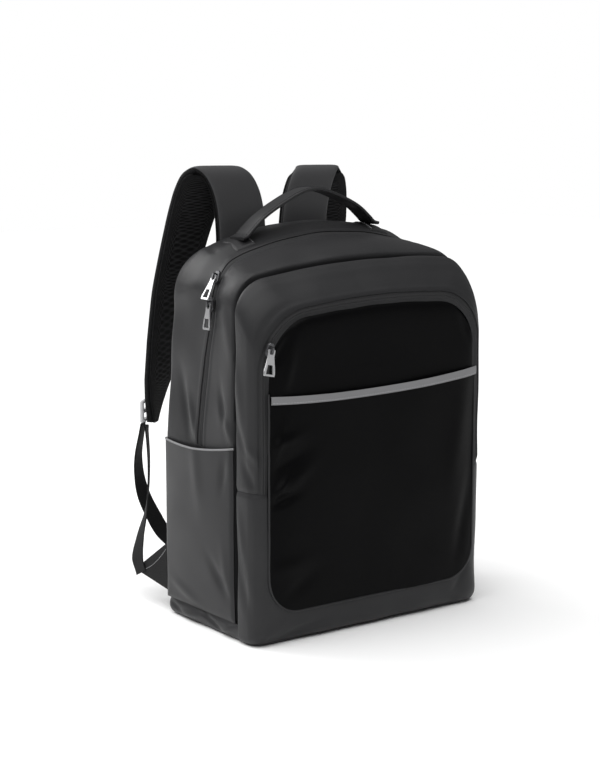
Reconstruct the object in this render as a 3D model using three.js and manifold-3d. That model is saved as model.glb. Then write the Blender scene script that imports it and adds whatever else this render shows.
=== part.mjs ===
// A laptop backpack that stands by itself with its zips closed.
// Millimetres, +Z up, front towards -Y. The origin is on the ground under the middle of the bag.
import * as THREE from "three";
import { mergeVertices } from "three/addons/utils/BufferGeometryUtils.js";
import Module from "manifold-3d";

const wasm = await Module();
wasm.setup();

// Overall sizes of the bag
const bodyWidth = 296;
const bodyHeight = 411;
const rearEdge = 79;
const creaseDepth = 52;
const frontReach = 38;
const frontDrop = 35;
const frontHeight = bodyHeight - frontDrop;
const shoulderRadius = 45;
const frontRadius = 37;
const frontSweep = 84;
const slump = 10;

// Cloth and clearances
const gap = 0.3;
const shellWall = 1.8;
const panelWall = 1.5;
const seamHeight = 18;
const baseEdge = 8;
const rearCorner = 8;
const frontCorner = 20;

// Back panel
const backPad = 7;
const backInset = 1.5;
const backRound = 8;

// Zips
const mainZipWidth = 10;
const mainZipEnd = 191;
const frontZipWidth = 10;
const frontZipEnd = 156;
const coilWidth = 3.4;
const coilRise = 0.8;

// Front door and slip pocket
const doorMargin = 15;
const doorDrop = 41;
const doorWidth = bodyWidth - 2 * doorMargin;
const doorTop = frontHeight - doorDrop;
const doorBottom = 33;
const doorCorner = 52;
const doorFoot = 36;
const doorCrown = 5;
const slipDrop = 79;
const slipMouth = doorTop - slipDrop;
const slipBulge = 5.4;
const trimHeight = 8;
const trimThickness = 0.9;

// Side pockets
const pocketMouth = 190;
const pocketBulge = 5.2;
const pocketDip = 3;
const pocketTrim = 3;
const pocketInset = 2;

// Carrying handle
const handleWidth = 25;
const handleThickness = 3.6;
const handleRound = 1;
const handlePlace = 29;
const handleSpan = 178;
const handleRise = 35;
const handleTop = bodyHeight + handleRise;
const patchLength = 22;
const patchThickness = 1.6;
const patchMargin = 3;

// Shoulder straps
const strapWidth = 60;
const strapThickness = 10;
const strapLining = 2.4;
const strapRound = 1.8;
const strapRoot = 41;
const strapRise = 54;
const strapPeak = bodyHeight + strapRise;
const strapReach = 176;
const strapSpread = 106;

// Strap adjusters, webbing and the triangular tabs that hold it
const webbingWidth = 22;
const webbingThickness = 1.6;
const webbingRound = 0.5;
const lockWidth = 34;
const lockHeight = 25;
const lockThickness = 5;
const lockBar = 4;
const lockChamfer = 2;
const lockTurn = 42;
const lockRise = 13;
const tabThickness = 2;
const tabReach = 58;
const tabHeight = 51;
const tabLift = 24;
const tabTip = 7;
const tailReach = 196;

// Zip sliders and pulls
const sliderWidth = 9;
const sliderLength = 13;
const sliderThickness = 3.4;
const sliderBevel = 0.5;
const sliderNose = 2;
const sliderGap = 0.35;
const upperLift = 0.9;
const lowerLift = 0.2;
const frontLift = 0.5;
const sliderEase = 0.75;
const frontEase = 0.5;
const bailWidth = 2.2;
const bailWire = 1.4;
const bailHalf = 2.4;
const bailChamfer = 0.9;
const bailRoot = 0.6;
const pullPin = 1.6;
const pullClearance = 0.45;
const pullLength = 26;
const pullTopWidth = 8;
const pullFootWidth = 12.5;
const pullWindow = 9;
const pullRim = 1.9;
const pullChamfer = 0.9;
const pullHang = 5;
const upperSliderDrop = 44;
const lowerSliderDrop = 70;
const frontSliderDrop = 34;

const halfWidth = bodyWidth / 2;
const mainDepth = rearEdge + creaseDepth;
const frontFace = creaseDepth + frontReach;
const mid = (a, b, t) => a + (b - a) * t;
const rad = THREE.MathUtils.degToRad;

// The bag leans a little: its right shoulder stands higher than its left one.
const settle = (x, z) => slump * (x / halfWidth) * (z / bodyHeight) ** 3;

// Sections of the main compartment from the back edge to the crease. back is a share of its depth,
// low and shoulder of the half width, top of the body height, corner of the shoulder radius.
const mainSections = [
  { back: 0.0, low: 0.985, shoulder: 0.915, top: 0.978, corner: 1.0, sweep: 73 },
  { back: 0.05, low: 1.0, shoulder: 0.926, top: 0.988, corner: 1.0, sweep: 73 },
  { back: 0.18, low: 1.0, shoulder: 0.93, top: 1.0, corner: 1.0, sweep: 73 },
  { back: 0.33, low: 1.0, shoulder: 0.94, top: 1.0, corner: 1.0, sweep: 73 },
  { back: 0.56, low: 1.0, shoulder: 0.953, top: 0.976, corner: 1.0, sweep: 73 },
  { back: 0.75, low: 1.0, shoulder: 0.973, top: 0.961, corner: 0.9, sweep: 76 },
  { back: 0.91, low: 1.0, shoulder: 0.993, top: 0.937, corner: 0.8, sweep: 81 },
  { back: 1.0, low: 0.99, shoulder: 0.987, top: 0.916, corner: 0.77, sweep: 84 },
];

// Sections of the front compartment from the crease to its face. out is a share of its reach,
// half of the half width, top and bottom of the front height, corner of the front radius.
const frontSections = [
  { out: 0.0, half: 0.985, top: 0.995, corner: 0.95, bottom: 0, foot: 1 },
  { out: 0.12, half: 1.007, top: 1.0, corner: 1.0, bottom: 0, foot: 1 },
  { out: 0.36, half: 1.01, top: 0.984, corner: 1.06, bottom: 0, foot: 1 },
  { out: 0.56, half: 1.007, top: 0.963, corner: 1.15, bottom: 0, foot: 1 },
  { out: 0.76, half: 0.991, top: 0.942, corner: 1.3, bottom: 0, foot: 1 },
  { out: 0.9, half: 0.955, top: 0.925, corner: 1.45, bottom: 0, foot: 1 },
  { out: 0.975, half: 0.91, top: 0.91, corner: 1.45, bottom: 0.004, foot: 12 },
  { out: 1.0, half: 0.87, top: 0.895, corner: 1.4, bottom: 0.02, foot: 18 },
  { out: 1.012, half: 0.5, top: 0.72, corner: 1.0, bottom: 0.25, foot: 30 },
];

// The main zip's middle line on the bag's side: forward of the origin and height, as shares of the
// crease depth and the body height.
const mainZipLine = [
  { forward: -0.19, height: 0.4 },
  { forward: -0.19, height: 0.575 },
  { forward: -0.06, height: 0.675 },
  { forward: 0.12, height: 0.78 },
  { forward: 0.19, height: 0.84 },
  { forward: 0.12, height: 0.905 },
  { forward: -0.04, height: 0.945 },
  { forward: -0.1, height: 1.1 },
];

// The handle's middle line: out as a share of half its span, rise from its ends to its top.
const handleLine = [
  { out: -1.0, rise: 0.0 },
  { out: -0.93, rise: 0.05 },
  { out: -0.86, rise: 0.18 },
  { out: -0.7, rise: 0.45 },
  { out: -0.42, rise: 0.75 },
  { out: -0.15, rise: 0.96 },
  { out: 0.0, rise: 1.0 },
  { out: 0.15, rise: 0.96 },
  { out: 0.42, rise: 0.75 },
  { out: 0.7, rise: 0.45 },
  { out: 0.86, rise: 0.18 },
  { out: 0.93, rise: 0.05 },
  { out: 1.0, rise: 0.0 },
];

// A shoulder strap's middle line from its root on the back panel, over the peak and down. side is a
// share of the way from the root to the outermost place, behind of the way from the back panel to
// the furthest reach, up of the peak's height, and wide of the strap's width; turn is its twist.
const strapLine = [
  { side: 0.0, behind: 0.0, up: 0.8, wide: 1.0, turn: 0 },
  { side: 0.0, behind: 0.0, up: 0.86, wide: 1.0, turn: 0 },
  { side: 0.04, behind: 0.0, up: 0.915, wide: 1.0, turn: 0 },
  { side: 0.13, behind: 0.01, up: 0.96, wide: 1.0, turn: 0 },
  { side: 0.26, behind: 0.04, up: 0.99, wide: 1.0, turn: 0 },
  { side: 0.4, behind: 0.09, up: 1.0, wide: 1.0, turn: 0 },
  { side: 0.53, behind: 0.15, up: 0.99, wide: 1.0, turn: 0 },
  { side: 0.63, behind: 0.21, up: 0.96, wide: 1.0, turn: 2 },
  { side: 0.7, behind: 0.28, up: 0.915, wide: 1.0, turn: 4 },
  { side: 0.75, behind: 0.37, up: 0.865, wide: 1.0, turn: 8 },
  { side: 0.77, behind: 0.585, up: 0.775, wide: 1.0, turn: 13 },
  { side: 0.77, behind: 0.73, up: 0.716, wide: 1.0, turn: 17 },
  { side: 0.8, behind: 0.893, up: 0.604, wide: 0.98, turn: 24 },
  { side: 0.86, behind: 0.988, up: 0.508, wide: 0.88, turn: 31 },
  { side: 0.92, behind: 1.0, up: 0.46, wide: 0.7, turn: 37 },
  { side: 1.0, behind: 0.965, up: 0.405, wide: 0.25, turn: 42 },
];

// The webbing from the adjuster down to the tab. side is a share of the way from the adjuster to
// the tab, behind and up of the way from the tab's tip to the adjuster; turn is its twist.
const webbingLine = [
  { side: 0.0, behind: 1.0, up: 0.9, turn: 46 },
  { side: 0.0, behind: 0.96, up: 0.86, turn: 52 },
  { side: 0.04, behind: 0.83, up: 0.66, turn: 54 },
  { side: 0.22, behind: 0.64, up: 0.47, turn: 56 },
  { side: 0.48, behind: 0.43, up: 0.34, turn: 62 },
  { side: 0.8, behind: 0.27, up: 0.19, turn: 76 },
  { side: 1.0, behind: 0.12, up: 0.07, turn: 90 },
  { side: 1.0, behind: -0.04, up: -0.02, turn: 90 },
];

// The webbing's free tail, which bows back from the adjuster and ends behind the bag. behind is a
// share of the way from the adjuster to the tail's furthest reach.
const tailLine = [
  { side: 0.04, behind: 0.18, up: 0.918, turn: 46 },
  { side: 0.05, behind: 0.35, up: 0.85, turn: 44 },
  { side: 0.06, behind: 0.81, up: 0.675, turn: 38 },
  { side: 0.0, behind: 0.94, up: 0.54, turn: 31 },
  { side: -0.06, behind: 0.62, up: 0.41, turn: 20 },
  { side: -0.18, behind: -0.12, up: 0.28, turn: 10 },
  { side: -0.32, behind: -0.94, up: 0.17, turn: 5 },
  { side: -0.62, behind: -1.9, up: 0.08, turn: 0 },
];

// Shallow folds in a side pocket. along and up are shares of its length and height, deep of the
// pocket's bulge, wide of its height; lean is the fold's slope.
const pocketFolds = [
  { along: 0.25, up: 0.1, deep: 0.3, wide: 0.05, lean: 0.25 },
  { along: 0.7, up: 0.16, deep: -0.25, wide: 0.06, lean: -0.3 },
  { along: 0.5, up: 0.75, deep: -0.22, wide: 0.16, lean: 0.15 },
];

const cloth = (colour, roughness) =>
  new THREE.MeshStandardMaterial({ color: colour, roughness, metalness: 0 });
const bodyCloth = () => cloth(0x343436, 0.55);
const doorCloth = () => cloth(0x161618, 0.6);
const padCloth = () => cloth(0x2b2b2d, 0.6);
const meshCloth = () => cloth(0x1c1c1e, 0.9);
const webbing = () => cloth(0x1f1f21, 0.8);
const greyTrim = () => cloth(0x77787a, 0.5);
const zipTape = () => cloth(0x242426, 0.7);
const greyPlastic = () => cloth(0xb4b5b7, 0.4);
const metal = (colour, roughness) =>
  new THREE.MeshStandardMaterial({ color: colour, roughness, metalness: 1 });
const darkMetal = () => metal(0x4a4a4c, 0.35);
const brightMetal = () => metal(0xc4c5c7, 0.28);

function signedVolume(points, index) {
  const corner = (i) => new THREE.Vector3().fromArray(points[index[i]]);
  let volume = 0;
  for (let i = 0; i < index.length; i += 3) {
    volume += corner(i).dot(corner(i + 1).cross(corner(i + 2))) / 6;
  }
  return volume;
}

function closedGeometry(points, index) {
  const faces = [...index];
  if (signedVolume(points, faces) < 0) {
    for (let i = 0; i < faces.length; i += 3) {
      [faces[i + 1], faces[i + 2]] = [faces[i + 2], faces[i + 1]];
    }
  }
  const geometry = new THREE.BufferGeometry();
  geometry.setAttribute("position", new THREE.Float32BufferAttribute(points.flat(), 3));
  geometry.setIndex(faces);
  return geometry;
}

// A closed solid through rings of as many points each, with both ends capped.
function loft(rings) {
  const count = rings[0].length;
  const points = rings.flat();
  const index = [];
  for (let r = 0; r < rings.length - 1; r++) {
    for (let k = 0; k < count; k++) {
      const a = r * count + k;
      const b = r * count + ((k + 1) % count);
      index.push(a, b, b + count, a, b + count, a + count);
    }
  }
  const cap = (ring, first, facing) => {
    const middle = [0, 1, 2].map((axis) => ring.reduce((sum, p) => sum + p[axis], 0) / count);
    points.push(middle);
    const centre = points.length - 1;
    for (let k = 0; k < count; k++) {
      const edge = [first + k, first + ((k + 1) % count)];
      index.push(centre, ...(facing ? edge : edge.reverse()));
    }
  };
  cap(rings[0], 0, false);
  cap(rings.at(-1), (rings.length - 1) * count, true);
  return closedGeometry(points, index);
}

// A closed solid between two grids of points, such as a cloth panel's two faces.
function panel(columns, rows, outer, inner) {
  const points = [];
  for (const face of [outer, inner]) {
    for (let j = 0; j <= rows; j++) {
      for (let i = 0; i <= columns; i++) {
        points.push(face(i / columns, j / rows));
      }
    }
  }
  const stride = columns + 1;
  const layer = stride * (rows + 1);
  const index = [];
  const quad = (a, b, c, d) => index.push(a, b, c, a, c, d);
  for (let j = 0; j < rows; j++) {
    for (let i = 0; i < columns; i++) {
      const a = j * stride + i;
      quad(a, a + 1, a + 1 + stride, a + stride);
      quad(a + layer, a + stride + layer, a + 1 + stride + layer, a + 1 + layer);
    }
  }
  for (let i = 0; i < columns; i++) {
    const far = rows * stride + i;
    quad(i, i + layer, i + 1 + layer, i + 1);
    quad(far, far + 1, far + 1 + layer, far + layer);
  }
  for (let j = 0; j < rows; j++) {
    const left = j * stride;
    const right = left + columns;
    quad(left, left + stride, left + stride + layer, left + layer);
    quad(right, right + layer, right + stride + layer, right + stride);
  }
  return closedGeometry(points, index);
}

function solid(geometry) {
  const bare = geometry.index ? geometry.toNonIndexed() : geometry.clone();
  bare.deleteAttribute("normal");
  bare.deleteAttribute("uv");
  const merged = mergeVertices(bare, 1e-4);
  const mesh = new wasm.Mesh({
    numProp: 3,
    vertProperties: merged.attributes.position.array,
    triVerts: new Uint32Array(merged.index.array),
  });
  return new wasm.Manifold(mesh);
}

function geometryOf(shape) {
  const made = shape.getMesh();
  const geometry = new THREE.BufferGeometry();
  const places = Float32Array.from(made.vertProperties);
  geometry.setAttribute("position", new THREE.BufferAttribute(places, 3));
  geometry.setIndex(Array.from(made.triVerts));
  return geometry;
}

// A box between two corners, as a solid to cut with.
function block(low, high) {
  const size = high.map((value, axis) => value - low[axis]);
  const middle = high.map((value, axis) => (value + low[axis]) / 2);
  const geometry = new THREE.BoxGeometry(...size);
  geometry.translate(...middle);
  return solid(geometry);
}

const far = 1000;
const above = (z) => block([-far, -far, z], [far, far, far]);
const below = (z) => block([-far, -far, -far], [far, far, z]);

// The bag's outline seen from the front, as [x, z] points from the right foot round to the left.
function outline(section) {
  const { low, shoulder, top, corner, bottom, foot } = section;
  const footSteps = 2;
  const sideSteps = 5;
  const cornerSteps = 6;
  const crownSteps = 4;
  const sweep = rad(section.sweep);
  const flat = shoulder - corner * (1 - Math.cos(sweep));
  const crown = (flat * Math.tan(Math.PI / 2 - sweep)) / 2;
  const spring = top - crown - corner * Math.sin(sweep);
  const right = [];
  for (let i = 0; i <= footSteps; i++) {
    const turn = rad(-90 + (90 * i) / footSteps);
    right.push([low - foot + foot * Math.cos(turn), bottom + foot + foot * Math.sin(turn)]);
  }
  for (let i = 1; i <= sideSteps; i++) {
    const z = mid(bottom + foot, spring, i / sideSteps);
    const taper = Math.max(0, (z - pocketMouth) / (spring - pocketMouth));
    right.push([mid(low, shoulder, taper), z]);
  }
  for (let i = 1; i <= cornerSteps; i++) {
    const turn = (sweep * i) / cornerSteps;
    right.push([shoulder - corner + corner * Math.cos(turn), spring + corner * Math.sin(turn)]);
  }
  for (let i = 1; i <= crownSteps; i++) {
    const x = flat * (1 - i / crownSteps);
    right.push([x, top - crown * (x / flat) ** 2]);
  }
  const left = right.slice(0, -1).reverse();
  return [...right, ...left.map(([x, z]) => [-x, z])];
}

const ring = (section, y) => outline(section).map(([x, z]) => [x, y, z]);

// A main section as lengths; grow moves its walls out, or in where it is negative.
function mainSection(row, grow, bottom, foot = 1) {
  return {
    low: row.low * halfWidth + grow,
    shoulder: row.shoulder * halfWidth + grow,
    top: row.top * bodyHeight + grow,
    corner: row.corner * shoulderRadius + grow,
    sweep: row.sweep,
    bottom,
    foot,
  };
}

const mainPlace = (back) => rearEdge - back * mainDepth;

function mainRowAt(y) {
  const back = (rearEdge - y) / mainDepth;
  const next = mainSections.findIndex((row) => row.back >= back);
  const b = mainSections[Math.max(next, 1)];
  const a = mainSections[Math.max(next, 1) - 1];
  const t = (back - a.back) / (b.back - a.back);
  const blended = {};
  for (const key of Object.keys(a)) {
    blended[key] = mid(a[key], b[key], t);
  }
  return blended;
}

// The main compartment as one solid hoop, filled; past runs it beyond both of its ends.
function mainHull(grow, bottom, past) {
  const rings = mainSections.map((row) => {
    return ring(mainSection(row, grow, bottom), mainPlace(row.back));
  });
  if (past > 0) {
    rings.unshift(rings[0].map(([x, y, z]) => [x, y + past, z]));
    rings.push(rings.at(-1).map(([x, y, z]) => [x, y - past, z]));
  }
  return solid(loft(rings));
}

function frontSection(row, grow, floor) {
  const open = grow < 0 && row.bottom === 0;
  const bottom = floor + row.bottom * frontHeight;
  return {
    low: row.half * halfWidth + grow,
    shoulder: row.half * halfWidth + grow,
    top: row.top * frontHeight + grow,
    corner: row.corner * frontRadius + grow,
    sweep: frontSweep,
    bottom: open ? bottom - shellWall : bottom - grow,
    foot: row.foot,
  };
}

// The front compartment, filled, from the crease to its face.
function frontHull(grow, floor) {
  const back = -creaseDepth - gap;
  const reach = frontReach - gap + grow;
  const rings = frontSections.map((row) => {
    return ring(frontSection(row, grow, floor), back - row.out * reach);
  });
  if (grow < 0) {
    rings.unshift(rings[0].map(([x, y, z]) => [x, y + 1, z]));
  }
  return solid(loft(rings));
}

// The front door's outline, grown by an even margin.
function doorShape(grow) {
  const half = doorWidth / 2 + grow;
  const top = doorTop + grow;
  const corner = doorCorner + grow;
  const foot = doorFoot + grow;
  const bottom = doorBottom - grow;
  const sweep = rad(frontSweep);
  const spring = top - corner - doorCrown;
  const shape = new THREE.Shape();
  shape.moveTo(-half + foot, bottom);
  shape.lineTo(half - foot, bottom);
  shape.absarc(half - foot, bottom + foot, foot, -Math.PI / 2, 0, false);
  shape.lineTo(half, spring);
  shape.absarc(half - corner, spring, corner, 0, sweep, false);
  const arcEnd = half - corner + corner * Math.cos(sweep);
  shape.quadraticCurveTo(0, top + doorCrown / 2, -arcEnd, spring + corner * Math.sin(sweep));
  shape.absarc(-half + corner, spring, corner, Math.PI - sweep, Math.PI, false);
  shape.lineTo(-half, bottom + foot);
  shape.absarc(-half + foot, bottom + foot, foot, Math.PI, Math.PI * 1.5, false);
  return shape;
}

// A shape in the front view made a solid from the crease to well before the face.
function doorPrism(grow) {
  const geometry = new THREE.ExtrudeGeometry(doorShape(grow), {
    depth: far,
    bevelEnabled: false,
    curveSegments: 6,
  });
  geometry.rotateX(Math.PI / 2);
  geometry.translate(0, -creaseDepth - frontReach / 2, 0);
  return solid(geometry);
}

// Turns a shape drawn in the side view, so local x, y and z become the bag's y, z and x.
const sideways = new THREE.Matrix4().makeBasis(
  new THREE.Vector3(0, 1, 0),
  new THREE.Vector3(0, 0, 1),
  new THREE.Vector3(1, 0, 0),
);

// The strip of the bag's side and top that the main zip takes, as a solid across the whole bag.
function mainZipSlab(width) {
  const line = mainZipLine.map((row) => {
    return new THREE.Vector2(-row.forward * creaseDepth, row.height * bodyHeight);
  });
  line[0].y = mainZipEnd + (mainZipWidth - width) / 2;
  const edge = (side) =>
    line.map((point, i) => {
      const before = line[Math.max(i - 1, 0)];
      const after = line[Math.min(i + 1, line.length - 1)];
      const along = after.clone().sub(before).normalize();
      const aside = new THREE.Vector2(along.y, -along.x);
      return point.clone().addScaledVector(aside, (side * width) / 2);
    });
  const shape = new THREE.Shape([...edge(1), ...edge(-1).reverse()]);
  const geometry = new THREE.ExtrudeGeometry(shape, { depth: far, bevelEnabled: false });
  geometry.translate(0, 0, -far / 2);
  geometry.applyMatrix4(sideways);
  return solid(geometry);
}

// A rounded rectangle seen from above, as the base has.
function planRing(inset, z) {
  const steps = 4;
  const half = halfWidth - inset;
  const back = rearEdge - inset;
  const front = -frontFace + inset;
  const corners = [
    { x: half, y: front, sx: -1, sy: 1, radius: frontCorner, from: -90 },
    { x: half, y: back, sx: -1, sy: -1, radius: rearCorner, from: 0 },
    { x: -half, y: back, sx: 1, sy: -1, radius: rearCorner, from: 90 },
    { x: -half, y: front, sx: 1, sy: 1, radius: frontCorner, from: 180 },
  ];
  const points = [];
  for (const corner of corners) {
    for (let i = 0; i <= steps; i++) {
      const turn = rad(corner.from + (90 * i) / steps);
      const x = corner.x + corner.sx * corner.radius + corner.radius * Math.cos(turn);
      const y = corner.y + corner.sy * corner.radius + corner.radius * Math.sin(turn);
      points.push([x, y, z]);
    }
  }
  return points;
}

// The base panel, a shallow tray whose lower edge is rolled in.
function basePanel() {
  const roll = [
    { up: 0, inset: 1.0 },
    { up: 0.09, inset: 0.55 },
    { up: 0.28, inset: 0.2 },
    { up: 0.56, inset: 0.03 },
    { up: 1, inset: 0 },
  ];
  const outer = roll.map((row) => planRing(row.inset * baseEdge, row.up * seamHeight));
  const inner = roll.map((row) => {
    const z = mid(shellWall, seamHeight + 1, row.up);
    return planRing(row.inset * baseEdge + shellWall, z);
  });
  return solid(loft(outer)).subtract(solid(loft(inner)));
}

function mainTube(grow) {
  return mainHull(grow, seamHeight + gap, 0).subtract(mainHull(-shellWall, seamHeight - 1, 1));
}

function mainShell() {
  return mainTube(0).subtract(mainZipSlab(mainZipWidth));
}

// The main zip: two tapes flush with the shell, and a raised coil along their middle.
function mainZip() {
  const tape = mainTube(0).intersect(mainZipSlab(mainZipWidth - 2 * gap));
  const coil = mainTube(coilRise).intersect(mainZipSlab(coilWidth));
  return tape.add(coil);
}

function frontTube(grow) {
  const floor = seamHeight + gap;
  return frontHull(grow, floor).subtract(frontHull(-shellWall, floor));
}

const frontShellUpper = () =>
  frontTube(0).subtract(doorPrism(frontZipWidth)).intersect(above(frontZipEnd + gap));

function frontShellLower() {
  return frontTube(0).subtract(doorPrism(gap)).intersect(below(frontZipEnd));
}

function frontZip() {
  const band = doorPrism(frontZipWidth - gap).subtract(doorPrism(gap));
  const edge = (frontZipWidth - coilWidth) / 2;
  const coilBand = doorPrism(edge + coilWidth).subtract(doorPrism(edge));
  const tape = frontTube(0).intersect(band);
  const coil = frontTube(coilRise).intersect(coilBand);
  return tape.add(coil).intersect(above(frontZipEnd + gap));
}

const frontDoor = () => frontTube(0).intersect(doorPrism(0));

// The thin wall between the two compartments, inside the main one just behind the crease.
function compartmentWall() {
  const back = -creaseDepth + shellWall + panelWall;
  const front = -creaseDepth + shellWall;
  const inset = -shellWall - gap;
  const wallRing = (y) => {
    return ring(mainSection(mainRowAt(y), inset, shellWall + gap, baseEdge + shellWall), y);
  };
  return loft([wallRing(back), wallRing(front)]);
}

// The padded back panel, with a rounded rim.
function backPanel() {
  const face = rearEdge + gap;
  const rim = [
    { behind: 0.0, inset: 0.0 },
    { behind: 0.45, inset: 0.1 },
    { behind: 0.8, inset: 0.45 },
    { behind: 1.0, inset: 1.0 },
  ];
  const rings = rim.map((row) => {
    const grow = -backInset - row.inset * backRound;
    const bottom = seamHeight + gap + row.inset * backRound;
    const section = mainSection(mainSections[0], grow, bottom, backRound);
    return ring(section, face + row.behind * backPad);
  });
  return loft(rings);
}

function slipHalf(z) {
  const rise = Math.min(z - doorBottom, doorFoot);
  return doorWidth / 2 - doorFoot + Math.sqrt(doorFoot ** 2 - (doorFoot - rise) ** 2);
}

// A point on the slip pocket's front, lifted off the door's face.
function slipPoint(across, z, lift) {
  const u = 2 * across - 1;
  const up = (z - doorBottom) / (slipMouth - doorBottom);
  const swell = (1 - u ** 4) * Math.sin((Math.min(up * 1.5, 1) * Math.PI) / 2);
  const face = frontFace + frontReach * (frontSections.at(-1).out - 1);
  return [u * slipHalf(z), -(face + gap + slipBulge * swell + lift), z];
}

function slipPocket() {
  const height = (v) => mid(doorBottom, slipMouth, v ** 1.3);
  const outer = (u, v) => slipPoint(u, height(v), panelWall);
  const inner = (u, v) => slipPoint(u, height(v), 0);
  return panel(12, 8, outer, inner);
}

function slipTrim() {
  const height = (v) => mid(slipMouth - trimHeight, slipMouth, v);
  const outer = (u, v) => slipPoint(u, height(v), panelWall + gap + trimThickness);
  const inner = (u, v) => slipPoint(u, height(v), panelWall + gap);
  return panel(10, 1, outer, inner);
}

function pocketFold(along, up) {
  let depth = 0;
  for (const fold of pocketFolds) {
    const off = (up - fold.up - fold.lean * (along - fold.along)) / fold.wide;
    const near = Math.exp(-(((along - fold.along) / 0.3) ** 2));
    depth += fold.deep * near * Math.exp(-(off ** 2));
  }
  return depth;
}

// A point on the right side pocket, lifted off the bag's side; along runs from back to crease.
function pocketPoint(along, up, lift) {
  const y = mid(rearEdge - pocketInset, -creaseDepth + pocketInset, along);
  const dip = pocketDip * Math.sin(Math.PI * along) * up;
  const z = mid(seamHeight + gap, pocketMouth, up) - dip;
  const open = Math.sin(Math.PI * along) ** 0.6 * (0.45 + 0.55 * Math.sin((Math.PI * up) / 2));
  const wave = 1 + pocketFold(along, up) * Math.sin(Math.PI * along);
  return [halfWidth + gap + pocketBulge * open * wave + lift, y, z];
}

function sidePocket() {
  const outer = (u, v) => pocketPoint(u, v, panelWall);
  const inner = (u, v) => pocketPoint(u, v, 0);
  return panel(8, 8, outer, inner);
}

function sidePocketTrim() {
  const low = 1 - pocketTrim / (pocketMouth - seamHeight);
  const outer = (u, v) => pocketPoint(u, mid(low, 1, v), panelWall + gap + trimThickness);
  const inner = (u, v) => pocketPoint(u, mid(low, 1, v), panelWall + gap);
  return panel(8, 1, outer, inner);
}

// The same piece on the bag's other side.
function mirrored(geometry) {
  const place = geometry.attributes.position;
  const points = [];
  for (let i = 0; i < place.count; i++) {
    points.push([-place.getX(i), place.getY(i), place.getZ(i)]);
  }
  const index = geometry.index ? [...geometry.index.array] : points.map((_, i) => i);
  return closedGeometry(points, index);
}

// A band along a line of stations. Each station has a place, half a width, and the offsets of its
// two faces from the line; side is the direction of its width, squared to the line unless sheared.
function ribbon(stations, round, sheared = false) {
  const rings = stations.map((station, i) => {
    const before = stations[Math.max(i - 1, 0)].place;
    const after = stations[Math.min(i + 1, stations.length - 1)].place;
    const along = after.clone().sub(before).normalize();
    const across = station.side.clone();
    if (!sheared) {
      across.addScaledVector(along, -station.side.dot(along)).normalize();
    }
    const out = along.clone().cross(across).normalize();
    const { half, low, high } = station;
    const edge = Math.min(round, (high - low) * 0.48);
    const section = [
      [-half + edge, low],
      [half - edge, low],
      [half, low + edge],
      [half, high - edge],
      [half - edge, high],
      [-half + edge, high],
      [-half, high - edge],
      [-half, low + edge],
    ];
    return section.map(([a, b]) =>
      station.place.clone().addScaledVector(across, a).addScaledVector(out, b).toArray(),
    );
  });
  return loft(rings);
}

// Extra stations between those of a short table, on a smooth curve.
function smooth(places, count) {
  const curve = new THREE.CatmullRomCurve3(places, false, "centripetal");
  const made = [];
  for (let i = 0; i <= count; i++) {
    const t = i / count;
    made.push({ place: curve.getPoint(t), row: t * (places.length - 1) });
  }
  return made;
}

// The direction of a right-hand band's width after a twist about the vertical.
const twisted = (degrees) => new THREE.Vector3(-Math.cos(rad(degrees)), Math.sin(rad(degrees)), 0);

function column(table, key, row) {
  const low = Math.min(Math.floor(row), table.length - 2);
  return mid(table[low][key], table[low + 1][key], row - low);
}

// The top of the main compartment at a place, before the bag settles.
function topAt(x, y) {
  const row = mainRowAt(y);
  const section = mainSection(row, 0, seamHeight);
  const points = outline(section).filter(([, z]) => z > pocketMouth);
  for (let i = 0; i < points.length - 1; i++) {
    const [a, b] = [points[i], points[i + 1]];
    if ((a[0] - x) * (b[0] - x) <= 0 && a[0] !== b[0] && a[0] > b[0]) {
      return mid(a[1], b[1], (x - a[0]) / (b[0] - a[0]));
    }
  }
  return section.top;
}

function handle() {
  const half = handleSpan / 2;
  const foot = topAt(half, handlePlace) + gap + patchThickness + gap + handleThickness / 2;
  const places = handleLine.map(
    (row) => new THREE.Vector3(row.out * half, handlePlace, mid(foot, handleTop, row.rise)),
  );
  const stations = smooth(places, 20).map(({ place }) => ({
    place,
    half: handleWidth / 2,
    low: -handleThickness / 2,
    high: handleThickness / 2,
    side: new THREE.Vector3(0, 1, 0),
  }));
  const seat = mainHull(patchThickness + 2 * gap, seamHeight, 1);
  return solid(ribbon(stations, handleRound)).subtract(seat);
}

// A sewn patch on the bag's top under each end of the handle.
function handlePatch(side) {
  const middle = side * (handleSpan / 2 - patchLength * 0.1);
  const low = [middle - patchLength / 2, handlePlace - handleWidth / 2 - patchMargin, pocketMouth];
  const high = [middle + patchLength / 2, handlePlace + handleWidth / 2 + patchMargin, far];
  const skin = mainHull(gap + patchThickness, seamHeight, 0).subtract(mainHull(gap, seamHeight, 1));
  return skin.intersect(block(low, high));
}

// A place on the right strap's middle line.
function strapPlace(row) {
  const rearFace = rearEdge + gap + backPad + gap + strapThickness / 2;
  const x = mid(strapRoot, strapSpread, row.side);
  return new THREE.Vector3(x, mid(rearFace, strapReach, row.behind), strapPeak * row.up);
}

// The right strap between two offsets from its line; high faces out and low faces the wearer.
function strapLayer(low, high) {
  const stations = smooth(strapLine.map(strapPlace), 22).map(({ place, row }) => ({
    place,
    half: (strapWidth / 2) * column(strapLine, "wide", row),
    low,
    high,
    side: twisted(column(strapLine, "turn", row)),
  }));
  return ribbon(stations, strapRound, true);
}

const strapInner = -strapThickness / 2;
const strapPad = () => strapLayer(strapInner + strapLining + gap, strapThickness / 2);
const strapMesh = () => strapLayer(strapInner, strapInner + strapLining);

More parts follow.
